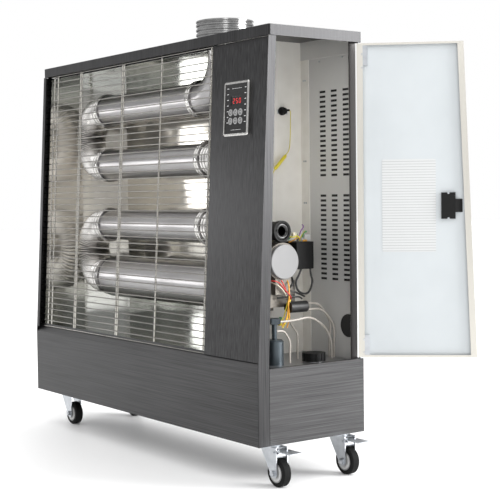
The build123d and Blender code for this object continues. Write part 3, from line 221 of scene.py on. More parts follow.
def soft_panel(name, place, target, width, height, watts):
    panel = bpy.data.lights.new(name, "AREA")
    panel.shape = "RECTANGLE"
    panel.size, panel.size_y, panel.energy = width, height, watts
    stand = bpy.data.objects.new(name, panel)
    scene.collection.objects.link(stand)
    stand.location = place
    stand.rotation_mode = "QUATERNION"
    stand.rotation_quaternion = (Vector(target) - Vector(place)).to_track_quat("-Z", "Y")


soft_panel("end_panel", (3.2, 2.6, 1.7), (0.4, -0.1, 0.7), 2.2, 2.4, 250)
soft_panel("grille_panel", (-2.6, -1.75, 0.74), (-0.1, 0.0, 0.7), 0.95, 0.5, 9)
soft_panel("camera_panel", (3.6, -2.2, 2.2), (0.35, -0.1, 0.55), 1.2, 1.2, 12)

# %% Floor
bpy.ops.object.select_all(action="DESELECT")
bpy.ops.mesh.primitive_plane_add(size=40, location=(0, 0, -0.0005))
floor = bpy.context.object
floor.name = "floor"
pale_floor = Finish("pale_floor", Roughness=0.45)
floor_mottle = pale_floor.noise(3.0)
pale_floor.feed("Base Color", pale_floor.blend(floor_mottle, tone(0.95), tone(0.97)))
floor.data.materials.append(pale_floor.material)

# %% [markdown]
# ## Brushed steel
# The cabinet is dark steel sheet, brushed in one direction with a coarse belt: upright on the
# front, the top and the posts, and lengthwise on the base. A stretched noise is that grain. It
# shades the colour a little, opens and closes the gloss, and cuts faint grooves as a bump.

# %% Brushed steels
def brushed(name, dark, light, grain):
    steel = Finish(name, Metallic=1.0)
    lines = steel.noise(1.0, 4.0, steel.place(scale=grain))
    clouds = steel.noise(5.0, 2.0)
    worn = (lines * 2.2 - 0.6) * 0.75 + clouds * 0.25
    steel.colour = steel.blend(worn, dark, light)
    steel.feed("Base Color", steel.colour)
    steel.feed("Roughness", 0.30 + 0.16 * worn)
    steel.bump(lines, 0.00006)
    return steel


upright_grain = (700, 700, 5)
lengthwise_grain = (5, 5, 700)
cabinet_upright = brushed(
    "cabinet_steel_upright", tone(0.013, 0.013, 0.0135), tone(0.072, 0.0715, 0.073), upright_grain
)
cabinet_lengthwise = brushed(
    "cabinet_steel_lengthwise", tone(0.024, 0.024, 0.0245), tone(0.090, 0.0895, 0.091), lengthwise_grain
)
print("brushed steels made")

# %% [markdown]
# ## Door steel with pale lips
# The door's outer sheet is brushed too, and its edges are folded round to pale lips inside. Both
# are one solid, so its finish measures how far a point lies inwards of the hinge pin.

# %% Door steel
pivot = Vector((0.44351, 0.04859, 0))
into_room = Vector((0.7431448, -0.6691306, 0))
lip_depth = 0.0095
door_outside = brushed("door_steel", tone(0.06, 0.06, 0.0605), tone(0.14, 0.139, 0.14), upright_grain)
from_pin_x, from_pin_y = door_outside.along(0) - pivot.x, door_outside.along(1) - pivot.y
folded_lip = (into_room.x * from_pin_x + into_room.y * from_pin_y) > lip_depth
door_colour = door_outside.blend(folded_lip, door_outside.colour, tone(0.62, 0.60, 0.55))
door_outside.feed("Base Color", door_colour)
print("door steel made")

# %% [markdown]
# ## Plain sheet steels
# The partition and the tank are plain sheet, shaded by flecks and slow clouds. The rear panel is
# pale inside, dark in the jamb by the door and brushed outside, so its finish chooses by place.

# %% Plain sheet steels
def rolled_sheet(name, dark, light, gloss=(0.22, 0.42), spangle=26.0, metal=0.9):
    sheet = Finish(name, Metallic=metal)
    flecks = sheet.node(
        "ShaderNodeTexVoronoi", {"feature": "F1"}, {"Vector": sheet.place(), "Scale": spangle * 3}
    )
    clouds = sheet.noise(spangle / 6, 4.0)
    mottle = flecks * 0.4 + clouds * 0.6
    sheet.feed("Base Color", sheet.blend(mottle, dark, light))
    sheet.feed("Roughness", gloss[0] + (gloss[1] - gloss[0]) * mottle)
    sheet.bump(clouds, 0.0006, 0.4)
    return sheet


galvanised = rolled_sheet(
    "galvanised_sheet", tone(0.78, 0.75, 0.69), tone(0.92, 0.90, 0.85), (0.34, 0.52), 12.0, 0.15
)
jamb_start_x, outer_face_y = 0.4262, 0.0530
back_sheet = Finish("back_sheet", Metallic=0.45)
back_clouds = back_sheet.noise(3.0, 3.0)
back_pale = back_sheet.blend(back_clouds, tone(0.52, 0.52, 0.51), tone(0.76, 0.755, 0.74))
in_jamb = back_sheet.along(0) > jamb_start_x
outer_face = back_sheet.along(1) > outer_face_y
outside_grain = back_sheet.noise(1.0, 4.0, back_sheet.place(scale=upright_grain))
back_dark = back_sheet.blend(outside_grain, tone(0.030), tone(0.085))
inside_colour = back_sheet.blend(in_jamb, back_pale, tone(0.035, 0.032, 0.031))
back_sheet.feed("Base Color", back_sheet.blend(outer_face, inside_colour, back_dark))
back_sheet.feed("Roughness", 0.34 + 0.18 * back_clouds)
back_sheet.bump(back_clouds, 0.0006, 0.3)
tank_sheet = rolled_sheet("tank_sheet", tone(0.25, 0.25, 0.26), tone(0.42, 0.42, 0.43))
print("plain sheet steels made")

# %% [markdown]
# ## Mirror, chrome and tube steels
# The reflector is bright rolled sheet: nearly a mirror, but never flat, so a slow bump bends what
# it mirrors, and handling leaves faint streaks. The tubes are satin steel that has been hot, with
# paler patches. Between the tubes a band of the reflector's height is coloured paler, warmer and
# less metallic, a painted reflection of the lights. Above and below it the sheet is coloured darker, a
# painted dark reflection, and all of it is mottled by the dents' noise, painted patches of reflection.
# The grille's rods stand behind its wires and are one metal with them, but the wires are coloured
# dark, a painted shade, and the rods pale, a painted highlight. One finish tells them apart by their
# depth behind the front, which leans back as it rises.

# %% Mirror, chrome and tube steels
reflector_sheet = Finish("reflector_sheet", Metallic=1.0)
streaks = reflector_sheet.noise(1.0, 3.0, reflector_sheet.place(scale=(4, 4, 30)))
dents_and_reflection_patches = reflector_sheet.noise(5.0, 1.0)
# painted reflection: a band of height between the tubes is coloured pale, warm and less metallic
reflection_band = reflector_sheet.shades(
    reflector_sheet.along(2), (0.30, tone(0.0)), (0.62, tone(1.0)), (0.80, tone(1.0)), (0.98, tone(0.0))
)
# painted dark reflection outside the band; the dents' noise mottles both colours as painted reflection
# patches
dim_sheet = reflector_sheet.blend(dents_and_reflection_patches, tone(0.34, 0.35, 0.33), tone(0.62, 0.63, 0.60))
lit_sheet = reflector_sheet.blend(dents_and_reflection_patches, tone(0.86, 0.80, 0.70), tone(0.97, 0.94, 0.87))
reflector_sheet.feed("Base Color", reflector_sheet.blend(reflection_band, dim_sheet, lit_sheet))
reflector_sheet.feed("Metallic", 1 - 0.4 * reflection_band)
reflector_sheet.feed("Roughness", 0.05 + 0.10 * streaks)
reflector_sheet.bump(dents_and_reflection_patches + 0.02 * streaks, 0.006, 0.5)


def plated(name, dark, light, gloss=(0.10, 0.26)):
    plate = Finish(name, Metallic=1.0)
    clouds = plate.noise(60.0, 4.0)
    plate.feed("Base Color", plate.blend(clouds, dark, light))
    plate.feed("Roughness", gloss[0] + (gloss[1] - gloss[0]) * clouds)
    plate.bump(clouds, 0.0002, 0.25)
    return plate


bright_wire = plated("bright_wire", tone(0.52, 0.51, 0.49), tone(0.80, 0.79, 0.77))
grille_wire = Finish("grille_wire", Metallic=1.0)
wire_clouds = grille_wire.noise(40.0, 3.0)
front_slope, front_start_z, front_start_y = 0.051793, 0.262, -0.24941
rod_depth = 0.0123
set_back = front_slope * (grille_wire.along(2) - front_start_z)
is_rod = (grille_wire.along(1) - set_back - front_start_y) > rod_depth
# painted shade and highlight: the wires in front are coloured dark and the rods behind them pale, though both
# are one metal
shaded_wire = grille_wire.blend(wire_clouds, tone(0.14, 0.135, 0.125), tone(0.30, 0.29, 0.27))
lit_rod = grille_wire.blend(wire_clouds, tone(0.55, 0.53, 0.48), tone(0.88, 0.86, 0.80))
grille_wire.feed("Base Color", grille_wire.blend(is_rod, shaded_wire, lit_rod))
grille_wire.feed("Roughness", 0.10 + 0.16 * wire_clouds)
grille_wire.bump(wire_clouds, 0.0002, 0.25)
zinc = plated("zinc", tone(0.34, 0.36, 0.385), tone(0.62, 0.64, 0.665), (0.24, 0.42))
spigot_steel = plated("spigot_steel", tone(0.26, 0.26, 0.26), tone(0.50, 0.50, 0.495), (0.12, 0.28))

hot_tube = Finish("tube_steel", Metallic=1.0)
drawn_lines = hot_tube.noise(1.0, 3.0, hot_tube.place(scale=(4, 260, 260)))
heat_marks = hot_tube.noise(6.0, 3.0)
hot_steel = hot_tube.blend(heat_marks, tone(0.27, 0.262, 0.262), tone(0.46, 0.45, 0.455))
hot_tube.feed("Base Color", hot_steel)
hot_tube.feed("Roughness", 0.24 + 0.12 * drawn_lines)
hot_tube.bump(drawn_lines, 0.0001, 0.5)
print("mirror and tube steels made")

# %% [markdown]
# ## Paint, plastic and rubber
# The rest is painted or moulded. Paint has a fine orange peel, moulded plastic a fine spark-eroded
# grain, and rubber is duller. One helper makes all of them, from a pair of colours, a gloss range,
# the size of the grain and its depth.

# %% Paint, plastic and rubber
def coated(name, dark, light, gloss, scale, depth=0.00015, **constants):
    coat = Finish(name, **constants)
    grain = coat.noise(scale, 3.0)
    clouds = coat.noise(12.0, 3.0)
    coat.feed("Base Color", coat.blend(clouds, dark, light))
    coat.feed("Roughness", gloss[0] + (gloss[1] - gloss[0]) * clouds)
    coat.bump(grain, depth, 0.5)
    return coat


liner_paint = coated("liner_paint", tone(0.47, 0.50, 0.515), tone(0.53, 0.56, 0.575), (0.32, 0.44), 900)
black_plastic = coated("black_plastic", tone(0.004), tone(0.010), (0.40, 0.58), 1400, Specular_IOR_Level=0.18)
gloss_black = coated("gloss_black", tone(0.008), tone(0.014), (0.08, 0.16), 300, 0.00003)
white_plastic = coated("white_plastic", tone(0.44, 0.44, 0.435), tone(0.52, 0.52, 0.515), (0.35, 0.5), 900)
disc_plastic = coated("disc_plastic", tone(0.22, 0.22, 0.222), tone(0.26, 0.26, 0.262), (0.35, 0.5), 900)
button_plastic = coated("button_plastic", tone(0.10), tone(0.15), (0.3, 0.42), 900)
burner_casting = coated(
    "burner_casting", tone(0.07, 0.065, 0.06), tone(0.24, 0.22, 0.19),
    (0.35, 0.6), 500, 0.0005, Metallic=0.8,
)
fan_metal = coated("fan_metal", tone(0.014), tone(0.034), (0.35, 0.5), 700, Metallic=0.3)
filter_casting = coated(
    "filter_casting", tone(0.035, 0.045, 0.052), tone(0.09, 0.11, 0.125),
    (0.25, 0.45), 500, 0.0003, Metallic=0.6,
)
hose_plastic = coated("hose_plastic", tone(0.34, 0.31, 0.27), tone(0.46, 0.43, 0.39), (0.22, 0.36), 400)
wire_sleeve = coated("wire_sleeve", tone(0.010), tone(0.022), (0.35, 0.5), 600)
tyre_rubber = coated(
    "tyre_rubber", tone(0.003), tone(0.009), (0.62, 0.80), 700, 0.0003, Specular_IOR_Level=0.15
)
hub_plastic = coated("hub_plastic", tone(0.17), tone(0.24), (0.4, 0.5), 900)
gasket_rubber = coated("gasket_rubber", tone(0.010), tone(0.020), (0.55, 0.7), 500)
print("coated finishes made")

# %% [markdown]
# ## Dressing the solids
# A solid whose shape is right stays as it is and only gets a finish. Its mesh isn't touched.

# %% Each solid of the frame gets its finish
def dress(finish, *names):
    for name in names:
        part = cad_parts[name]
        if not part.material_slots:
            part.data.materials.append(finish.material)
        for held in part.material_slots:
            held.material = finish.material


dress(cabinet_upright, "front_panel", "right_front_post", "left_side_panel", "top_cover")
dress(cabinet_lengthwise, "base_front_panel", "base_tray")
dress(galvanised, "partition_wall")
dress(back_sheet, "rear_panel")
dress(door_outside, "door_pan")
dress(liner_paint, "door_liner")
dress(reflector_sheet, "reflector")
dress(grille_wire, "grille")
dress(bright_wire, "control_bezel")
dress(hot_tube, "heat_tubes", "combustion_tube", "left_bend_upper", "right_bend", "left_bend_lower")
dress(hot_tube, "tube_clamps", "flue_elbow")
dress(spigot_steel, "flue_spigot")
dress(tank_sheet, "fuel_tank")
dress(black_plastic, "tank_cap", "control_box", "air_intake", "latch_body", "latch_lever")
dress(gloss_black, "control_face")
dress(button_plastic, *[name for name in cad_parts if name.startswith("button_")])
dress(burner_casting, "burner_housing")
dress(fan_metal, "burner_fan", "burner_motor", "fuel_pump")
dress(disc_plastic, "fan_cover")
dress(filter_casting, "fuel_filter")
dress(hose_plastic, "fuel_hoses")
dress(wire_sleeve, "wiring")
dress(zinc, "door_hinges", "hinge_pins", "caster_plates")
dress(gasket_rubber, "grommet")
corners = ("front_right", "rear_right", "front_left", "rear_left")
for corner in corners:
    dress(zinc, "fork_" + corner)
    dress(hub_plastic, "hub_" + corner)
    dress(tyre_rubber, "tyre_" + corner)
dress(zinc, "pedal_front_right", "pedal_rear_right")
print(len(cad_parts), "solids dressed")

# %% [markdown]
# ## Modelling by hand, in code
# Every new piece is modelled with the tools a person would use: add a primitive, go into edit
# mode, select a few faces or points by where they are, and extrude, inset, bevel or spin them.
# These helpers do the clicking. `settle` bakes the piece's place into its mesh, gives it its finish
# and lets it ride on a body of the frame.

# %% Helpers for modelling
def start(add, **where):
    bpy.ops.object.select_all(action="DESELECT")
    add(**where)
    piece = bpy.context.object
    bpy.ops.object.transform_apply(location=True, rotation=True, scale=True)
    return piece


def pick(piece):
    """Back in object mode, with only this piece selected and active."""
    if bpy.context.mode != "OBJECT":
        bpy.ops.object.mode_set(mode="OBJECT")
    bpy.ops.object.select_all(action="DESELECT")
    piece.select_set(True)
    bpy.context.view_layer.objects.active = piece


def choose(piece, kind, test):
    """Goes into edit mode with only the points, edges or faces that pass the test selected."""
    pick(piece)
    bpy.ops.object.mode_set(mode="EDIT")
    bpy.ops.mesh.select_mode(type={"vertices": "VERT", "edges": "EDGE", "polygons": "FACE"}[kind])
    bpy.ops.mesh.select_all(action="DESELECT")
    bpy.ops.object.mode_set(mode="OBJECT")
    for item in getattr(piece.data, kind):
        item.select = test(item)
    bpy.ops.object.mode_set(mode="EDIT")


def outward(piece):
    choose(piece, "polygons", lambda face: True)
    bpy.ops.mesh.remove_doubles(threshold=0.000005)
    bpy.ops.mesh.normals_make_consistent(inside=False)
    bpy.ops.object.mode_set(mode="OBJECT")


def settle(piece, name, finish, body, smooth=40):
    pick(piece)
    bpy.ops.object.transform_apply(location=True, rotation=True, scale=True)
    piece.name = name
    piece.data.name = name
    piece.data.materials.clear()
    piece.data.materials.append(finish.material)
    bpy.ops.object.shade_smooth_by_angle(angle=math.radians(smooth))
    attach(piece, body)
    return piece


def again(piece, name, move, body=None):
    """A copy with its own mesh, moved in the mesh itself."""
    copy = piece.copy()
    copy.data = piece.data.copy()
    copy.name = copy.data.name = name
    scene.collection.objects.link(copy)
    copy.data.transform(Matrix.Translation(move))
    if body:
        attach(copy, body)
    return copy


def together(pieces, name):
    """Joins finished pieces of one finish into one."""
    bpy.ops.object.select_all(action="DESELECT")
    for piece in pieces:
        piece.select_set(True)
    bpy.context.view_layer.objects.active = pieces[0]
    bpy.ops.object.join()
    pieces[0].name = pieces[0].data.name = name
    return pieces[0]


def tapered_edges(piece, width, segments=2):
    rounding = piece.modifiers.new("rounding", "BEVEL")
    rounding.width = width
    rounding.segments = segments
    rounding.limit_method = "ANGLE"
    pick(piece)
    bpy.ops.object.modifier_apply(modifier="rounding")


def rounded_block(place, size, edge, segments=2):
    block = start(bpy.ops.mesh.primitive_cube_add, size=1, location=place, scale=size)
    tapered_edges(block, edge, segments)
    return block


def capped(name, sides, size, thick, insets, finish, facing, place, body):
    disc = start(bpy.ops.mesh.primitive_cylinder_add, vertices=sides, radius=size, depth=thick)
    choose(disc, "polygons", lambda face: face.normal.z > 0.9)
    for inward, raised in insets:
        bpy.ops.mesh.inset(thickness=inward, depth=raised)
    bpy.ops.object.mode_set(mode="OBJECT")
    disc.data.transform(Vector(facing).to_track_quat("Z", "Y").to_matrix().to_4x4())
    disc.data.transform(Matrix.Translation(place))
    return settle(disc, name, finish, body)

# %% [markdown]
# ## Places on the heater
# Most places are read from the solid model. The cabinet's depth, the height of its underside and
# the lean of its front, 39 mm back over 753 mm of height, are given.

# %% Places taken from the frame
tube_low, tube_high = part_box("heat_tubes")
cover_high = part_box("top_cover")[1]
right_side, rear_side = cover_high.x, cover_high.y
cabinet_depth = 0.303
front_foot = rear_side - cabinet_depth
base_under = 0.095
tube_y = (tube_low.y + tube_high.y) / 2
tube_left_x = tube_low.x
front_setback, front_rise = 0.039, 0.753
front_tilt = math.atan(front_setback / front_rise)
print("tube axes lie at y", round(tube_y, 4), "left ends at x", round(tube_left_x, 4))

# %% [markdown]
# ## Pleated return bends
# Each bend is one steel tube crimped into fine pleats so that it can turn: about thirty folds round
# the half circle. The solid has nine coarse ones. A torus with a bump would leave the outline
# smooth, so a ring is spun round the turn in small steps and every second ring is drawn in. The finish
# counts the same folds and colours every crease near black, a painted shade, and the crests far paler
# than the tube steel, a painted highlight.

# %% Steel with painted shade in the creases and painted highlight on the crests
straight_length, straight_rings = 0.035, 6


def pleated_steel(name, end_x, turn_x, turn_z, side, steps):
    steel = Finish(name, Metallic=1.0)
    beyond = side * (steel.along(0) - turn_x)
    round_turn = beyond.sum("ARCTAN2", beyond, steel.along(2) - turn_z)
    in_turn = beyond > 0
    on_straight = side * (steel.along(0) - end_x) * (straight_rings / 2 / straight_length)
    folds = in_turn * (round_turn * (steps / math.pi / 2)) + (1 - in_turn) * on_straight
    crest = 2 * steel.node("ShaderNodeMath", {"operation": "ABSOLUTE"}, {0: folds % 1.0 - 0.5})
    fold_mottle = steel.noise(9.0, 3.0)
    lit_crest_colour = steel.blend(fold_mottle, tone(0.72, 0.70, 0.68), tone(0.94, 0.92, 0.90))
    # painted shade and highlight: near the crease the colour is near black, at the crest the pale crest
    # colour
    steel.feed("Base Color", steel.blend(crest * 1.5, tone(0.022, 0.020, 0.019), lit_crest_colour))
    steel.feed("Roughness", 0.46 - 0.24 * crest)
    steel.bump(fold_mottle, 0.0002, 0.3)
    return steel

# %% Pleated return bends
def pleated_bend(name, end_x, upper_z, lower_z, side, upper_radius, lower_radius, pleats):
    same_ring = 0.0002
    turn_x = end_x + side * straight_length
    turn_z = (upper_z + lower_z) / 2
    bend = start(
        bpy.ops.mesh.primitive_circle_add, vertices=40, radius=upper_radius,
        location=(end_x, tube_y, upper_z), rotation=(0, math.pi / 2, 0),
    )
    steps = 2 * pleats
    choose(bend, "vertices", lambda point: True)
    for _ in range(straight_rings):
        bpy.ops.mesh.extrude_region_move(
            TRANSFORM_OT_translate={"value": (side * straight_length / straight_rings, 0, 0)}
        )
    bpy.ops.mesh.spin(
        steps=steps, angle=-math.pi, center=(turn_x, tube_y, turn_z), axis=(0, side, 0)
    )
    for _ in range(straight_rings):
        bpy.ops.mesh.extrude_region_move(
            TRANSFORM_OT_translate={"value": (-side * straight_length / straight_rings, 0, 0)}
        )
    outward(bend)

    def turned(place):
        return math.atan2(side * (place.x - turn_x), place.z - turn_z) / math.pi * steps

    def drawn_in(point):
        if side * (point.co.x - turn_x) > same_ring:
            return round(turned(point.co)) % 2 == 1
        along = side * (point.co.x - end_x) / straight_length * straight_rings
        return 0.5 < along < straight_rings - 0.5 and round(along) % 2 == 1

    pleat_depth = 0.0042
    for point in bend.data.vertices:
        in_straight = side * (point.co.x - turn_x) <= same_ring
        share = min(1.0, max(0.0, turned(point.co) / steps))
        if in_straight:
            share = 0.0 if point.co.z > turn_z else 1.0
        ring_angle = share * math.pi
        ring_x = turn_x + side * (upper_z - turn_z) * math.sin(ring_angle)
        centre = Vector((
            point.co.x if in_straight else ring_x,
            tube_y,
            turn_z + (upper_z - turn_z) * math.cos(ring_angle),
        ))
        grown = 1 + share * (lower_radius / upper_radius - 1)
        if drawn_in(point):
            grown -= pleat_depth / upper_radius
        point.co = centre + (point.co - centre) * grown
    bend.data.update()
    wall = bend.modifiers.new("wall", "SOLIDIFY")
    wall.thickness = 0.0009
    wall.offset = -1
    bpy.ops.object.modifier_apply(modifier="wall")
    creased = pleated_steel(name + "_steel", end_x, turn_x, turn_z, side, steps)
    settle(bend, name, creased, "cabinet", smooth=28)
    low, high = [min(p.co.x for p in bend.data.vertices), max(p.co.x for p in bend.data.vertices)]
    print(name, "x from", round(low, 4), "to", round(high, 4), len(bend.data.polygons), "faces")
    return bend


tube_zs = (0.887, 0.735, 0.568)
chamber_z = 0.422
tube_radius = 0.0415
neck_radius = 0.048
tube_right_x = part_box("right_bend")[0].x
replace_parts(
    pleated_bend(
        "pleated_bend_top", tube_left_x, tube_zs[0], tube_zs[1], -1, tube_radius, tube_radius, 33
    ),
    "left_bend_upper",
)
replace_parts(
    pleated_bend(
        "pleated_bend_middle", tube_right_x, tube_zs[1], tube_zs[2], 1, tube_radius, tube_radius, 33
    ),
    "right_bend",
)
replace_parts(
    pleated_bend(
        "pleated_bend_low", tube_left_x, tube_zs[2], chamber_z, -1, tube_radius, neck_radius, 31
    ),
    "left_bend_lower",
)

# %% [markdown]
# ## Collars on the tube joints
# A beaded collar holds every joint between tube and bend. It shows as two bright rings with a
# flat band between them. One is extruded from a circle, ring by ring, with the beads swelled out,
# and it is copied to the other joints.

# %% Collars
collar_start = tube_left_x - 0.0095
bead_rings = (0.0028, 0.0136)


def from_bead(point):
    return min(abs(point.co.x - collar_start - ring) for ring in bead_rings)


collar = start(
    bpy.ops.mesh.primitive_circle_add, vertices=40, radius=tube_radius + 0.0042,
    location=(collar_start, tube_y, tube_zs[0]), rotation=(0, math.pi / 2, 0),
)
choose(collar, "vertices", lambda point: True)
for step in (0.0012, 0.0016, 0.0016, 0.0012, 0.0026, 0.0026, 0.0012, 0.0016, 0.0016, 0.0012):
    bpy.ops.mesh.extrude_region_move(TRANSFORM_OT_translate={"value": (step, 0, 0)})
outward(collar)
choose(collar, "vertices", lambda point: from_bead(point) < 0.0003)
bpy.ops.transform.shrink_fatten(value=0.0018)
choose(collar, "vertices", lambda point: abs(from_bead(point) - 0.0016) < 0.0003)
bpy.ops.transform.shrink_fatten(value=0.0011)
bpy.ops.object.mode_set(mode="OBJECT")
wall = collar.modifiers.new("wall", "SOLIDIFY")
wall.thickness = 0.001
wall.offset = -1
bpy.ops.object.modifier_apply(modifier="wall")
settle(collar, "collar_1", bright_wire, "cabinet")
elbow_joint_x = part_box("flue_elbow")[0].x
joints = [
    (tube_left_x, tube_zs[1]), (tube_left_x, tube_zs[2]),
    (tube_right_x, tube_zs[1]), (tube_right_x, tube_zs[2]), (elbow_joint_x - 0.0075, tube_zs[0]),
]
for number, (joint_x, joint_z) in enumerate(joints, 2):
    again(collar, f"collar_{number}", (joint_x - tube_left_x, 0, joint_z - tube_zs[0]), body="cabinet")
print(len(joints) + 1, "collars")

# %% [markdown]
# ## Control unit: digits, key marks and level marks
# Behind the dark face three red digits glow, the keys carry thin round marks, and short bright
# ticks stand beside the display. All are flat inlays a few tenths of a millimetre proud, modelled
# flat at the unit's place on the sloping front and moved outwards along its slope.

# %% Marks on the control unit
unit_x, unit_z = 0.33051, 0.839
unit_turn = Matrix.Rotation(math.pi / 2 - front_tilt, 4, "X")
slope_up = Vector((0, math.sin(front_tilt), math.cos(front_tilt)))
slope_out = Vector((0, -math.cos(front_tilt), math.sin(front_tilt)))
front_recess, inlay_thick = 0.009, 0.0003
unit_y = front_foot + front_setback * (unit_z - front_start_z) / front_rise + front_recess


def on_unit(across, up, out):
    return Vector((unit_x, unit_y, unit_z)) + Vector((across, 0, 0)) + up * slope_up + out * slope_out


glowing_red = Finish("glowing_red", Roughness=0.4)
red_flicker = glowing_red.noise(500.0)
glowing_red.feed("Base Color", glowing_red.blend(red_flicker, tone(0.30, 0.0, 0.005), tone(0.55, 0.01, 0.01)))
lit_red = glowing_red.blend(red_flicker, tone(0.55, 0.0, 0.01), tone(1.0, 0.03, 0.02))
glowing_red.feed("Emission Color", lit_red)
glowing_red.shader.inputs["Emission Strength"].default_value = 1.1
mark_paint = coated("mark_paint", tone(0.55), tone(0.68), (0.4, 0.5), 900)


def bar(across, up, width, height, out):
    """A flat inlay with cut corners."""
    flat = rounded_block((0, 0, 0), (width, height, inlay_thick), min(width, height) * 0.3, 1)
    flat.data.transform(Matrix.Translation(on_unit(across, up, out)) @ unit_turn)
    return flat


segments = {
    "a": (0, 1, 0), "b": (1, 0.5, 1), "c": (1, -0.5, 1), "d": (0, -1, 0),
    "e": (-1, -0.5, 1), "f": (-1, 0.5, 1), "g": (0, 0, 0),
}
digits = {"2": "abged", "0": "abcdef", "5": "afgcd"}
bars = []
for place, digit in zip((-0.0115, 0.0, 0.0115), "250"):
    for segment in digits[digit]:
        sideways, upward, upright = segments[segment]
        size = (0.0012, 0.0042) if upright else (0.0042, 0.0012)
        bars.append(bar(place + sideways * 0.0029, 0.0175 + upward * 0.0051, *size, 0.0042))
digit_bars = together(bars, "display_digits")
settle(digit_bars, "display_digits", glowing_red, "cabinet")
ticks = [
    bar(side * 0.0335, 0.046 - row * 0.0128, 0.0060, 0.0016, 0.0051)
    for side in (-1, 1) for row in range(7)
]
ticks.append(bar(0, 0.0455, 0.038, 0.0007, 0.0051))
ticks.append(bar(0, -0.0475, 0.038, 0.0007, 0.0051))
tick_marks = together(ticks, "face_ticks")
settle(tick_marks, "face_ticks", mark_paint, "cabinet")
key_names = ("power", "mode", "timer", "down", "up", "set")
for number, key in enumerate(key_names):
    column, row = number % 3 - 1, number // 3
    across, up = -0.0017 + 0.019 * column, -0.0085 - 0.019 * row
    ring = start(
        bpy.ops.mesh.primitive_torus_add, major_radius=0.0066, minor_radius=0.0004,
        major_segments=28, minor_segments=6,
    )
    stem = rounded_block((0, 0, 0), (0.0009, 0.0050, 0.0004), 0.0002, 1)
    stem.data.transform(Matrix.Rotation(math.radians((0, 45, 90, 0, 90, 135)[number]), 4, "Z"))
    mark = together([ring, stem], "key_mark_" + key)
    mark.data.transform(Matrix.Translation(on_unit(across, up, 0.0066)) @ unit_turn)
    settle(mark, "key_mark_" + key, mark_paint, "key_" + key)
print(len(bars), "display bars,", len(ticks), "ticks,", len(key_names), "key marks")

# %% [markdown]
# ## Plain sheet on the door
# A pale plastic sheet is stuck to the door's inner face. It is kept blank, ruled with thin grey
# lines only. The lines are part of its finish, counted along its height, so they stay sharp at any
# size, and the sheet itself is a thin plate with rounded corners.

# %% Ruled sheet on the door
along_leaf = Vector((0.6691306, 0.7431448, 0))
leaf_turn = math.radians(48)


def on_door(along, height, inward):
    return pivot + along * along_leaf + inward * into_room + Vector((0, 0, base_under + height))


ruled_sheet = Finish("ruled_sheet", Roughness=0.4)
row_pitch, line_width = 0.0062, 0.0011
row_line = (ruled_sheet.along(2) + 1.0) % row_pitch < line_width
worn_line = ruled_sheet.noise(700.0, 2.0) * 0.5 + 0.45
ruled = ruled_sheet.blend(row_line * worn_line, tone(0.56, 0.57, 0.57), tone(0.26, 0.265, 0.27))
ruled_sheet.feed("Base Color", ruled)
ruled_sheet.feed("Roughness", 0.32 + 0.2 * ruled_sheet.noise(40.0))
ruled_sheet.bump(ruled_sheet.noise(300.0), 0.0001, 0.3)
sheet_thick = 0.0005
sheet_plate = start(
    bpy.ops.mesh.primitive_cube_add, size=1, location=on_door(0.113, 0.522, 0.0041),
    rotation=(0, 0, leaf_turn), scale=(0.122, sheet_thick, 0.212),
)


def is_corner(edge):
    first, second = (sheet_plate.data.vertices[end].co for end in edge.vertices)
    return abs((first - second).length - sheet_thick) < 0.0001


choose(sheet_plate, "edges", is_corner)
bpy.ops.mesh.bevel(offset=0.004, segments=4, affect="EDGES")
settle(sheet_plate, "door_sheet", ruled_sheet, "door")

# %% [markdown]
# ## Screws
# Small pan-head screws hold the partition, the hinge plates, the latch and the cover. Each head is
# a disc whose top is raised and then sunk for the driver, turned to face out of its panel.

# %% Screws
def screw(name, place, facing, size, body="cabinet"):
    insets = ((size * 0.35, size * 0.16), (size * 0.25, -size * 0.25))
    raised = Vector(place) + Vector(facing).normalized() * size * 0.2
    return capped(name, 16, size, size * 0.5, insets, zinc, facing, raised, body)


flange_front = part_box("partition_wall")[1].y - 0.0012
for number, height in enumerate((0.826, 0.631, 0.53, 0.28)):
    for mark, aside in (("a", -0.0035), ("b", 0.0035)):
        place = (0.2420 + aside, flange_front, base_under + height)
        screw(f"partition_screw_{number}{mark}", place, (0, -1, 0), 0.0022)
for number, (x, z) in enumerate(((0.300, 0.962), (0.385, 0.964))):
    screw(f"cover_screw_{number}", (x, rear_side - 0.0030, z), (0, -1, 0), 0.0024)
for number, height in enumerate((0.200, 0.853)):
    for mark, higher in (("a", -0.015), ("b", 0.015)):
        place = on_door(0.0092, height + higher, 0.0098)
        screw(f"hinge_screw_{number}{mark}", place, into_room, 0.0028, body="door")
for number, height in enumerate((0.492, 0.550)):
    screw(f"latch_screw_{number}", on_door(0.202, height, 0.0100), into_room, 0.0024, body="door")
print("screws set")

# %% [markdown]
# ## Louvre hoods behind the rear slots
# Air enters the burner compartment through rows of slots in the rear panel. Each slot has a small
# pressed hood outside that keeps rain out, so from inside no daylight shows. One hood is a block
# whose outer face slopes down and whose underside is hollowed. It is copied to all the slots.

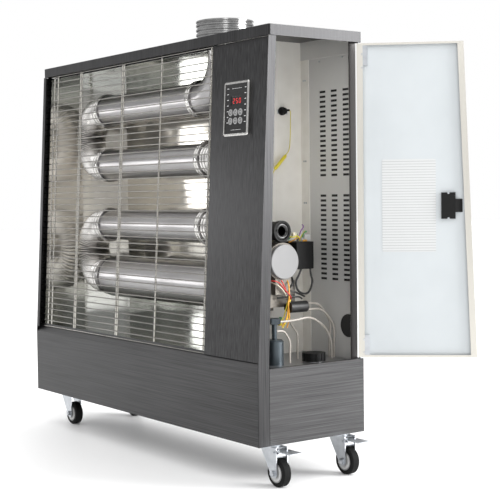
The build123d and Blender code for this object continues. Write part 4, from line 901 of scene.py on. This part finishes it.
# %% Louvre hoods
hood = start(bpy.ops.mesh.primitive_cube_add, size=1, scale=(0.025, 0.006, 0.0088))
choose(hood, "polygons", lambda face: face.normal.y > 0.9)
bpy.ops.transform.resize(value=(0.9, 1, 0.55), center_override=(0, 0.003, -0.0044))
choose(hood, "polygons", lambda face: face.normal.z < -0.9)
bpy.ops.mesh.inset(thickness=0.0008, depth=-0.003)
bpy.ops.object.mode_set(mode="OBJECT")
slot_rows, slot_pitch = 18, 0.01165
hoods = []
for from_right in (0.1395, 0.0980, 0.0555):
    for top_row in (0.794, 0.547):
        for row in range(slot_rows):
            height = base_under + top_row - slot_pitch * row
            place = (right_side - from_right, rear_side + 0.0028, height)
            hoods.append(again(hood, f"hood_{len(hoods)}", place))
bpy.data.objects.remove(hood)
hood_count = len(hoods)
settle(together(hoods, "rear_louvres"), "rear_louvres", cabinet_upright, "cabinet")
print(hood_count, "louvre hoods")

# %% [markdown]
# ## Lip of the air intake
# The intake's mouth is a thick glossy lip with a much smaller hole than the ring around it. A torus
# of round section sits in the ring's bore, and its front is pressed a little flatter.

# %% Intake lip
intake_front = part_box("air_intake")[1].x
mouth = [p.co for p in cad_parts["air_intake"].data.vertices if p.co.x > intake_front - 0.0005]
mouth_y = (min(p.y for p in mouth) + max(p.y for p in mouth)) / 2
mouth_z = (min(p.z for p in mouth) + max(p.z for p in mouth)) / 2
lip = start(
    bpy.ops.mesh.primitive_torus_add, major_radius=0.0152, minor_radius=0.0050, major_segments=40,
    minor_segments=16, location=(intake_front - 0.0040, mouth_y, mouth_z), rotation=(0, math.pi / 2, 0),
)
choose(lip, "vertices", lambda point: point.co.x > intake_front - 0.0010)
bpy.ops.transform.translate(value=(-0.0008, 0, 0))
settle(lip, "intake_lip", gloss_black, "cabinet")
print("intake mouth at", round(mouth_y, 4), round(mouth_z, 4))

# %% [markdown]
# ## Hub rims and axle nuts
# Each wheel has a pale moulded rim round its hub, and the axle ends in a domed hexagon nut on both
# cheeks of the fork. The rim is a thin disc with a sunk middle and turns with its wheel. The nut is
# a six-sided disc whose top is inset and raised twice, and it rides with the fork.

# %% Hub rims and axle nuts
near_axle = 0.010
nut_count = 0
for corner in corners:
    hub_low, hub_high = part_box("hub_" + corner)
    axle_x, axle_z = (hub_low.x + hub_high.x) / 2, (hub_low.z + hub_high.z) / 2
    cheeks = [
        p.co.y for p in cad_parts["fork_" + corner].data.vertices
        if abs(p.co.x - axle_x) < near_axle and abs(p.co.z - axle_z) < near_axle
    ]
    for mark, way, hub_face in (("front", -1, hub_low.y), ("rear", 1, hub_high.y)):
        capped(
            f"hub_rim_{corner}_{mark}", 32, 0.0190, 0.0008, ((0.0050, 0), (0.0006, -0.0005)), white_plastic,
            (0, way, 0), (axle_x, hub_face + way * 0.0002, axle_z), "wheel_" + corner,
        )
        if cheeks:
            cheek = max(cheeks) if way > 0 else min(cheeks)
            capped(
                f"axle_nut_{corner}_{mark}", 6, 0.0068, 0.0036, ((0.0014, 0.0010), (0.0022, 0.0007)), zinc,
                (0, way, 0), (axle_x, cheek + way * 0.0014, axle_z), "caster_" + corner,
            )
            nut_count += 1
print("8 hub rims,", nut_count, "axle nuts")

# %% [markdown]
# ## Leads in the burner compartment
# Thin coloured leads run between the control box, the motor, the ignition block and the sensor
# high on the partition. Each is a smooth curve led by a few points, given a round section and
# made into a mesh. The black loop under the box and the sensor stand in the places of their solids.

# %% Finishes of the leads
def sleeve(name, dark, light):
    return coated(name, dark, light, (0.28, 0.42), 500, 0.00008)


yellow_sleeve = sleeve("yellow_sleeve", tone(0.72, 0.58, 0.02), tone(0.85, 0.74, 0.08))
orange_sleeve = sleeve("orange_sleeve", tone(0.75, 0.33, 0.03), tone(0.86, 0.47, 0.08))
red_sleeve = sleeve("red_sleeve", tone(0.42, 0.02, 0.02), tone(0.62, 0.05, 0.04))
green_sleeve = sleeve("green_sleeve", tone(0.05, 0.22, 0.08), tone(0.10, 0.36, 0.14))
violet_sleeve = sleeve("violet_sleeve", tone(0.20, 0.07, 0.28), tone(0.34, 0.14, 0.42))
cream_sleeve = sleeve("cream_sleeve", tone(0.62, 0.55, 0.42), tone(0.76, 0.70, 0.58))


def lead(name, points, thick, finish):
    line = bpy.data.curves.new(name, "CURVE")
    line.dimensions = "3D"
    line.bevel_depth = thick / 2
    line.bevel_resolution = 3
    line.resolution_u = 8
    line.use_fill_caps = True
    run = line.splines.new("NURBS")
    run.points.add(len(points) - 1)
    for held, place in zip(run.points, points):
        held.co = (*place, 1)
    run.order_u = 3
    run.use_endpoint_u = True
    curve = bpy.data.objects.new(name, line)
    scene.collection.objects.link(curve)
    pick(curve)
    bpy.ops.object.convert(target="MESH")
    return settle(bpy.context.object, name, finish, "cabinet")

# %% Black loop, sensor and its yellow lead
loop_x = right_side - 0.113
loop_places = (
    (211, 377), (206, 365), (192, 347), (201, 322), (232, 315), (246, 345), (239, 362), (238, 377)
)
loop_points = [(loop_x, front_foot + 0.001 * y, base_under + 0.001 * z) for y, z in loop_places]
black_loop = lead("black_loop", loop_points, 0.005, wire_sleeve)
sensor_body = start(
    bpy.ops.mesh.primitive_cylinder_add, vertices=24, radius=0.010, depth=0.005,
    location=(0.2312, front_foot + 0.240, base_under + 0.7515), rotation=(0, math.pi / 2, 0),
)
choose(sensor_body, "polygons", lambda face: face.normal.x > 0.9)
bpy.ops.mesh.inset(thickness=0.0022, depth=0)
bpy.ops.mesh.extrude_region_move(TRANSFORM_OT_translate={"value": (0.008, 0, 0)})
bpy.ops.mesh.inset(thickness=0.0025, depth=0.002)
settle(sensor_body, "sensor_body", black_plastic, "cabinet")
sensor_tabs = rounded_block(
    (0.2404, front_foot + 0.248, base_under + 0.7535), (0.003, 0.014, 0.005), 0.0008
)
settle(sensor_tabs, "sensor_tabs", black_plastic, "cabinet")
sensor_plate = rounded_block(
    (0.2282, front_foot + 0.243, base_under + 0.750), (0.001, 0.030, 0.011), 0.0004
)
settle(sensor_plate, "sensor_plate", zinc, "cabinet")
lead("sensor_lead", [
    (0.2404, front_foot + 0.252, base_under + 0.7545), (0.2406, front_foot + 0.2585, base_under + 0.7545),
    (0.2406, front_foot + 0.2575, base_under + 0.735), (0.2408, front_foot + 0.2565, base_under + 0.69),
    (0.2408, front_foot + 0.2535, base_under + 0.658), (0.2400, front_foot + 0.244, base_under + 0.647),
    (0.2390, front_foot + 0.204, base_under + 0.606), (0.2370, front_foot + 0.190, base_under + 0.570),
    (0.2360, front_foot + 0.192, base_under + 0.500), (0.2360, front_foot + 0.205, base_under + 0.440),
], 0.0018, yellow_sleeve)
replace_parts(black_loop, "wiring")
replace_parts(sensor_body, "wiring")
plug_start = Vector((0.2404, front_foot + 0.246, base_under + 0.6485))
plug_end = Vector((0.2392, front_foot + 0.206, base_under + 0.608))
plug_turn = (plug_end - plug_start).to_track_quat("Z", "X").to_matrix().to_4x4()
sheath = start(bpy.ops.mesh.primitive_cylinder_add, vertices=16, radius=0.0042, depth=0.040)
choose(sheath, "polygons", lambda face: abs(face.normal.z) > 0.9)
bpy.ops.mesh.inset(thickness=0.0016, depth=0.004)
bpy.ops.object.mode_set(mode="OBJECT")
sheath.data.transform(Matrix.Translation((plug_start + plug_end) / 2) @ plug_turn)
settle(sheath, "sensor_plug", yellow_sleeve, "cabinet")

# %% Coloured leads round the burner
box_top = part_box("control_box")[1].z
leads = {
    "red_lead_a": ((
        (0.3, -0.15, 0.452), (0.349, -0.133, 0.449), (0.352, -0.118, 0.446), (0.354, -0.101, 0.427),
        (0.356, -0.0806, 0.405), (0.33, -0.07, 0.402),
    ), 0.0030, red_sleeve),
    "red_lead_b": ((
        (0.349, -0.108, 0.449), (0.352, -0.103, 0.438), (0.352, -0.096, 0.424), (0.335, -0.088, 0.416),
    ), 0.0030, red_sleeve),
    "cream_lead_a": ((
        (0.3, -0.14, 0.452), (0.351, -0.126, 0.443), (0.352, -0.109, 0.43), (0.352, -0.095, 0.414),
        (0.336, -0.085, 0.405),
    ), 0.0026, cream_sleeve),
    "yellow_stem": ((
        (0.338, -0.085, 0.452), (0.351, -0.0883, 0.442), (0.353, -0.088, 0.42), (0.354, -0.09, 0.404),
        (0.353, -0.0926, 0.3935), (0.352, -0.0878, 0.376), (0.351, -0.0867, 0.356),
        (0.345, -0.09, 0.338),
    ), 0.0030, orange_sleeve),
    "orange_lead_a": ((
        (0.35, -0.0839, 0.404), (0.35, -0.09, 0.386), (0.351, -0.0922, 0.368), (0.35, -0.0985, 0.352),
        (0.346, -0.106, 0.342),
    ), 0.0032, orange_sleeve),
    "yellow_lead_a": ((
        (0.348, -0.081, 0.402), (0.348, -0.086, 0.384), (0.348, -0.088, 0.366), (0.347, -0.094, 0.35),
        (0.344, -0.102, 0.338),
    ), 0.0030, yellow_sleeve),
    "yellow_lead_b": ((
        (0.345, -0.085, 0.402), (0.345, -0.093, 0.38), (0.344, -0.097, 0.362), (0.342, -0.108, 0.35),
        (0.338, -0.118, 0.347),
    ), 0.0028, yellow_sleeve),
    "black_lead_a": ((
        (0.338, -0.112, 0.415), (0.346, -0.0889, 0.423), (0.346, -0.0665, 0.4205),
        (0.344, -0.0496, 0.413), (0.336, -0.03, 0.407),
    ), 0.0042, wire_sleeve),
    "black_lead_b": ((
        (0.338, -0.112, 0.407), (0.347, -0.086, 0.4105), (0.347, -0.0665, 0.4085),
        (0.344, -0.0496, 0.4075), (0.336, -0.038, 0.402),
    ), 0.0042, wire_sleeve),
    "black_lead_c": ((
        (0.33, -0.062, 0.452), (0.345, -0.07, 0.441), (0.346, -0.078, 0.432), (0.338, -0.086, 0.424),
    ), 0.0050, wire_sleeve),
    "yellow_lead_c": ((
        (0.318, -0.06, 0.548), (0.327, -0.054, 0.5445), (0.327, -0.045, 0.549), (0.326, -0.036, 0.5465),
        (0.324, -0.032, 0.537),
    ), 0.0028, yellow_sleeve),
    "orange_lead_b": ((
        (0.312, -0.056, 0.534), (0.322, -0.049, 0.538), (0.322, -0.04, 0.544), (0.321, -0.03, 0.545),
        (0.319, -0.024, 0.537),
    ), 0.0028, orange_sleeve),
    "yellow_lead_d": ((
        (0.318, -0.03, 0.537), (0.322, -0.026, 0.548), (0.323, -0.02, 0.556), (0.32, -0.011, 0.56),
        (0.3, -0.002, 0.556),
    ), 0.0026, yellow_sleeve),
    "green_lead": ((
        (0.32, -0.026, 0.537), (0.326, -0.0248, 0.5511), (0.326, -0.019, 0.5577),
        (0.325, -0.0117, 0.5597), (0.31, -0.003, 0.556),
    ), 0.0028, green_sleeve),
    "violet_lead": ((
        (0.316, -0.032, 0.537), (0.322, -0.031, 0.556), (0.322, -0.024, 0.564), (0.32, -0.0163, 0.571),
        (0.305, -0.01, 0.574),
    ), 0.0028, violet_sleeve),
    "green_lead_b": ((
        (0.308, -0.056, 0.54), (0.324, -0.05, 0.552), (0.324, -0.044, 0.556), (0.318, -0.036, 0.554),
        (0.31, -0.03, 0.537),
    ), 0.0028, green_sleeve),
}
for name, (points, thick, finish) in leads.items():
    lead(name, points, thick, finish)
print(len(leads), "coloured leads")

# %% [markdown]
# ## Plug-in connectors
# Small moulded connectors end the leads: a block with soft edges, a sunk top and ribs in front.

# %% Plug-in connectors
def connector(name, place, size, finish, ways=3):
    block = rounded_block(place, size, 0.0008)
    choose(block, "polygons", lambda face: face.normal.z > 0.9 and face.area > size[0] * size[1] * 0.5)
    bpy.ops.mesh.inset(thickness=0.0010, depth=-0.0012)
    bpy.ops.object.mode_set(mode="OBJECT")
    ribs = [block]
    for way in range(ways):
        offset = (way - (ways - 1) / 2) * size[1] / (ways + 0.3)
        rib_place = (place[0] + size[0] / 2, place[1] + offset, place[2])
        rib_size = (0.0012, size[1] / ways * 0.45, size[2] * 0.7)
        ribs.append(rounded_block(rib_place, rib_size, 0.0003, 1))
    return settle(together(ribs, name), name, finish, "cabinet")


connector("white_connector_a", (0.322, -0.0120, box_top + 0.0080), (0.010, 0.0160, 0.0160), white_plastic)
connector("white_connector_b", (0.321, -0.0250, box_top + 0.0045), (0.009, 0.0080, 0.0090), white_plastic, 2)
connector("orange_connector", (0.324, -0.0200, box_top + 0.0020), (0.009, 0.0120, 0.0045), orange_sleeve, 2)
connector("cream_connector", (0.321, -0.0475, box_top + 0.0180), (0.008, 0.0110, 0.0080), cream_sleeve, 2)
connector("white_connector_c", (0.335, -0.1160, 0.3570), (0.009, 0.0160, 0.0090), white_plastic)
connector("yellow_connector", (0.337, -0.1040, 0.3500), (0.008, 0.0070, 0.0130), yellow_sleeve, 2)
connector("green_connector", (0.336, -0.1010, 0.3590), (0.006, 0.0050, 0.0080), green_sleeve, 2)
print("connectors made")
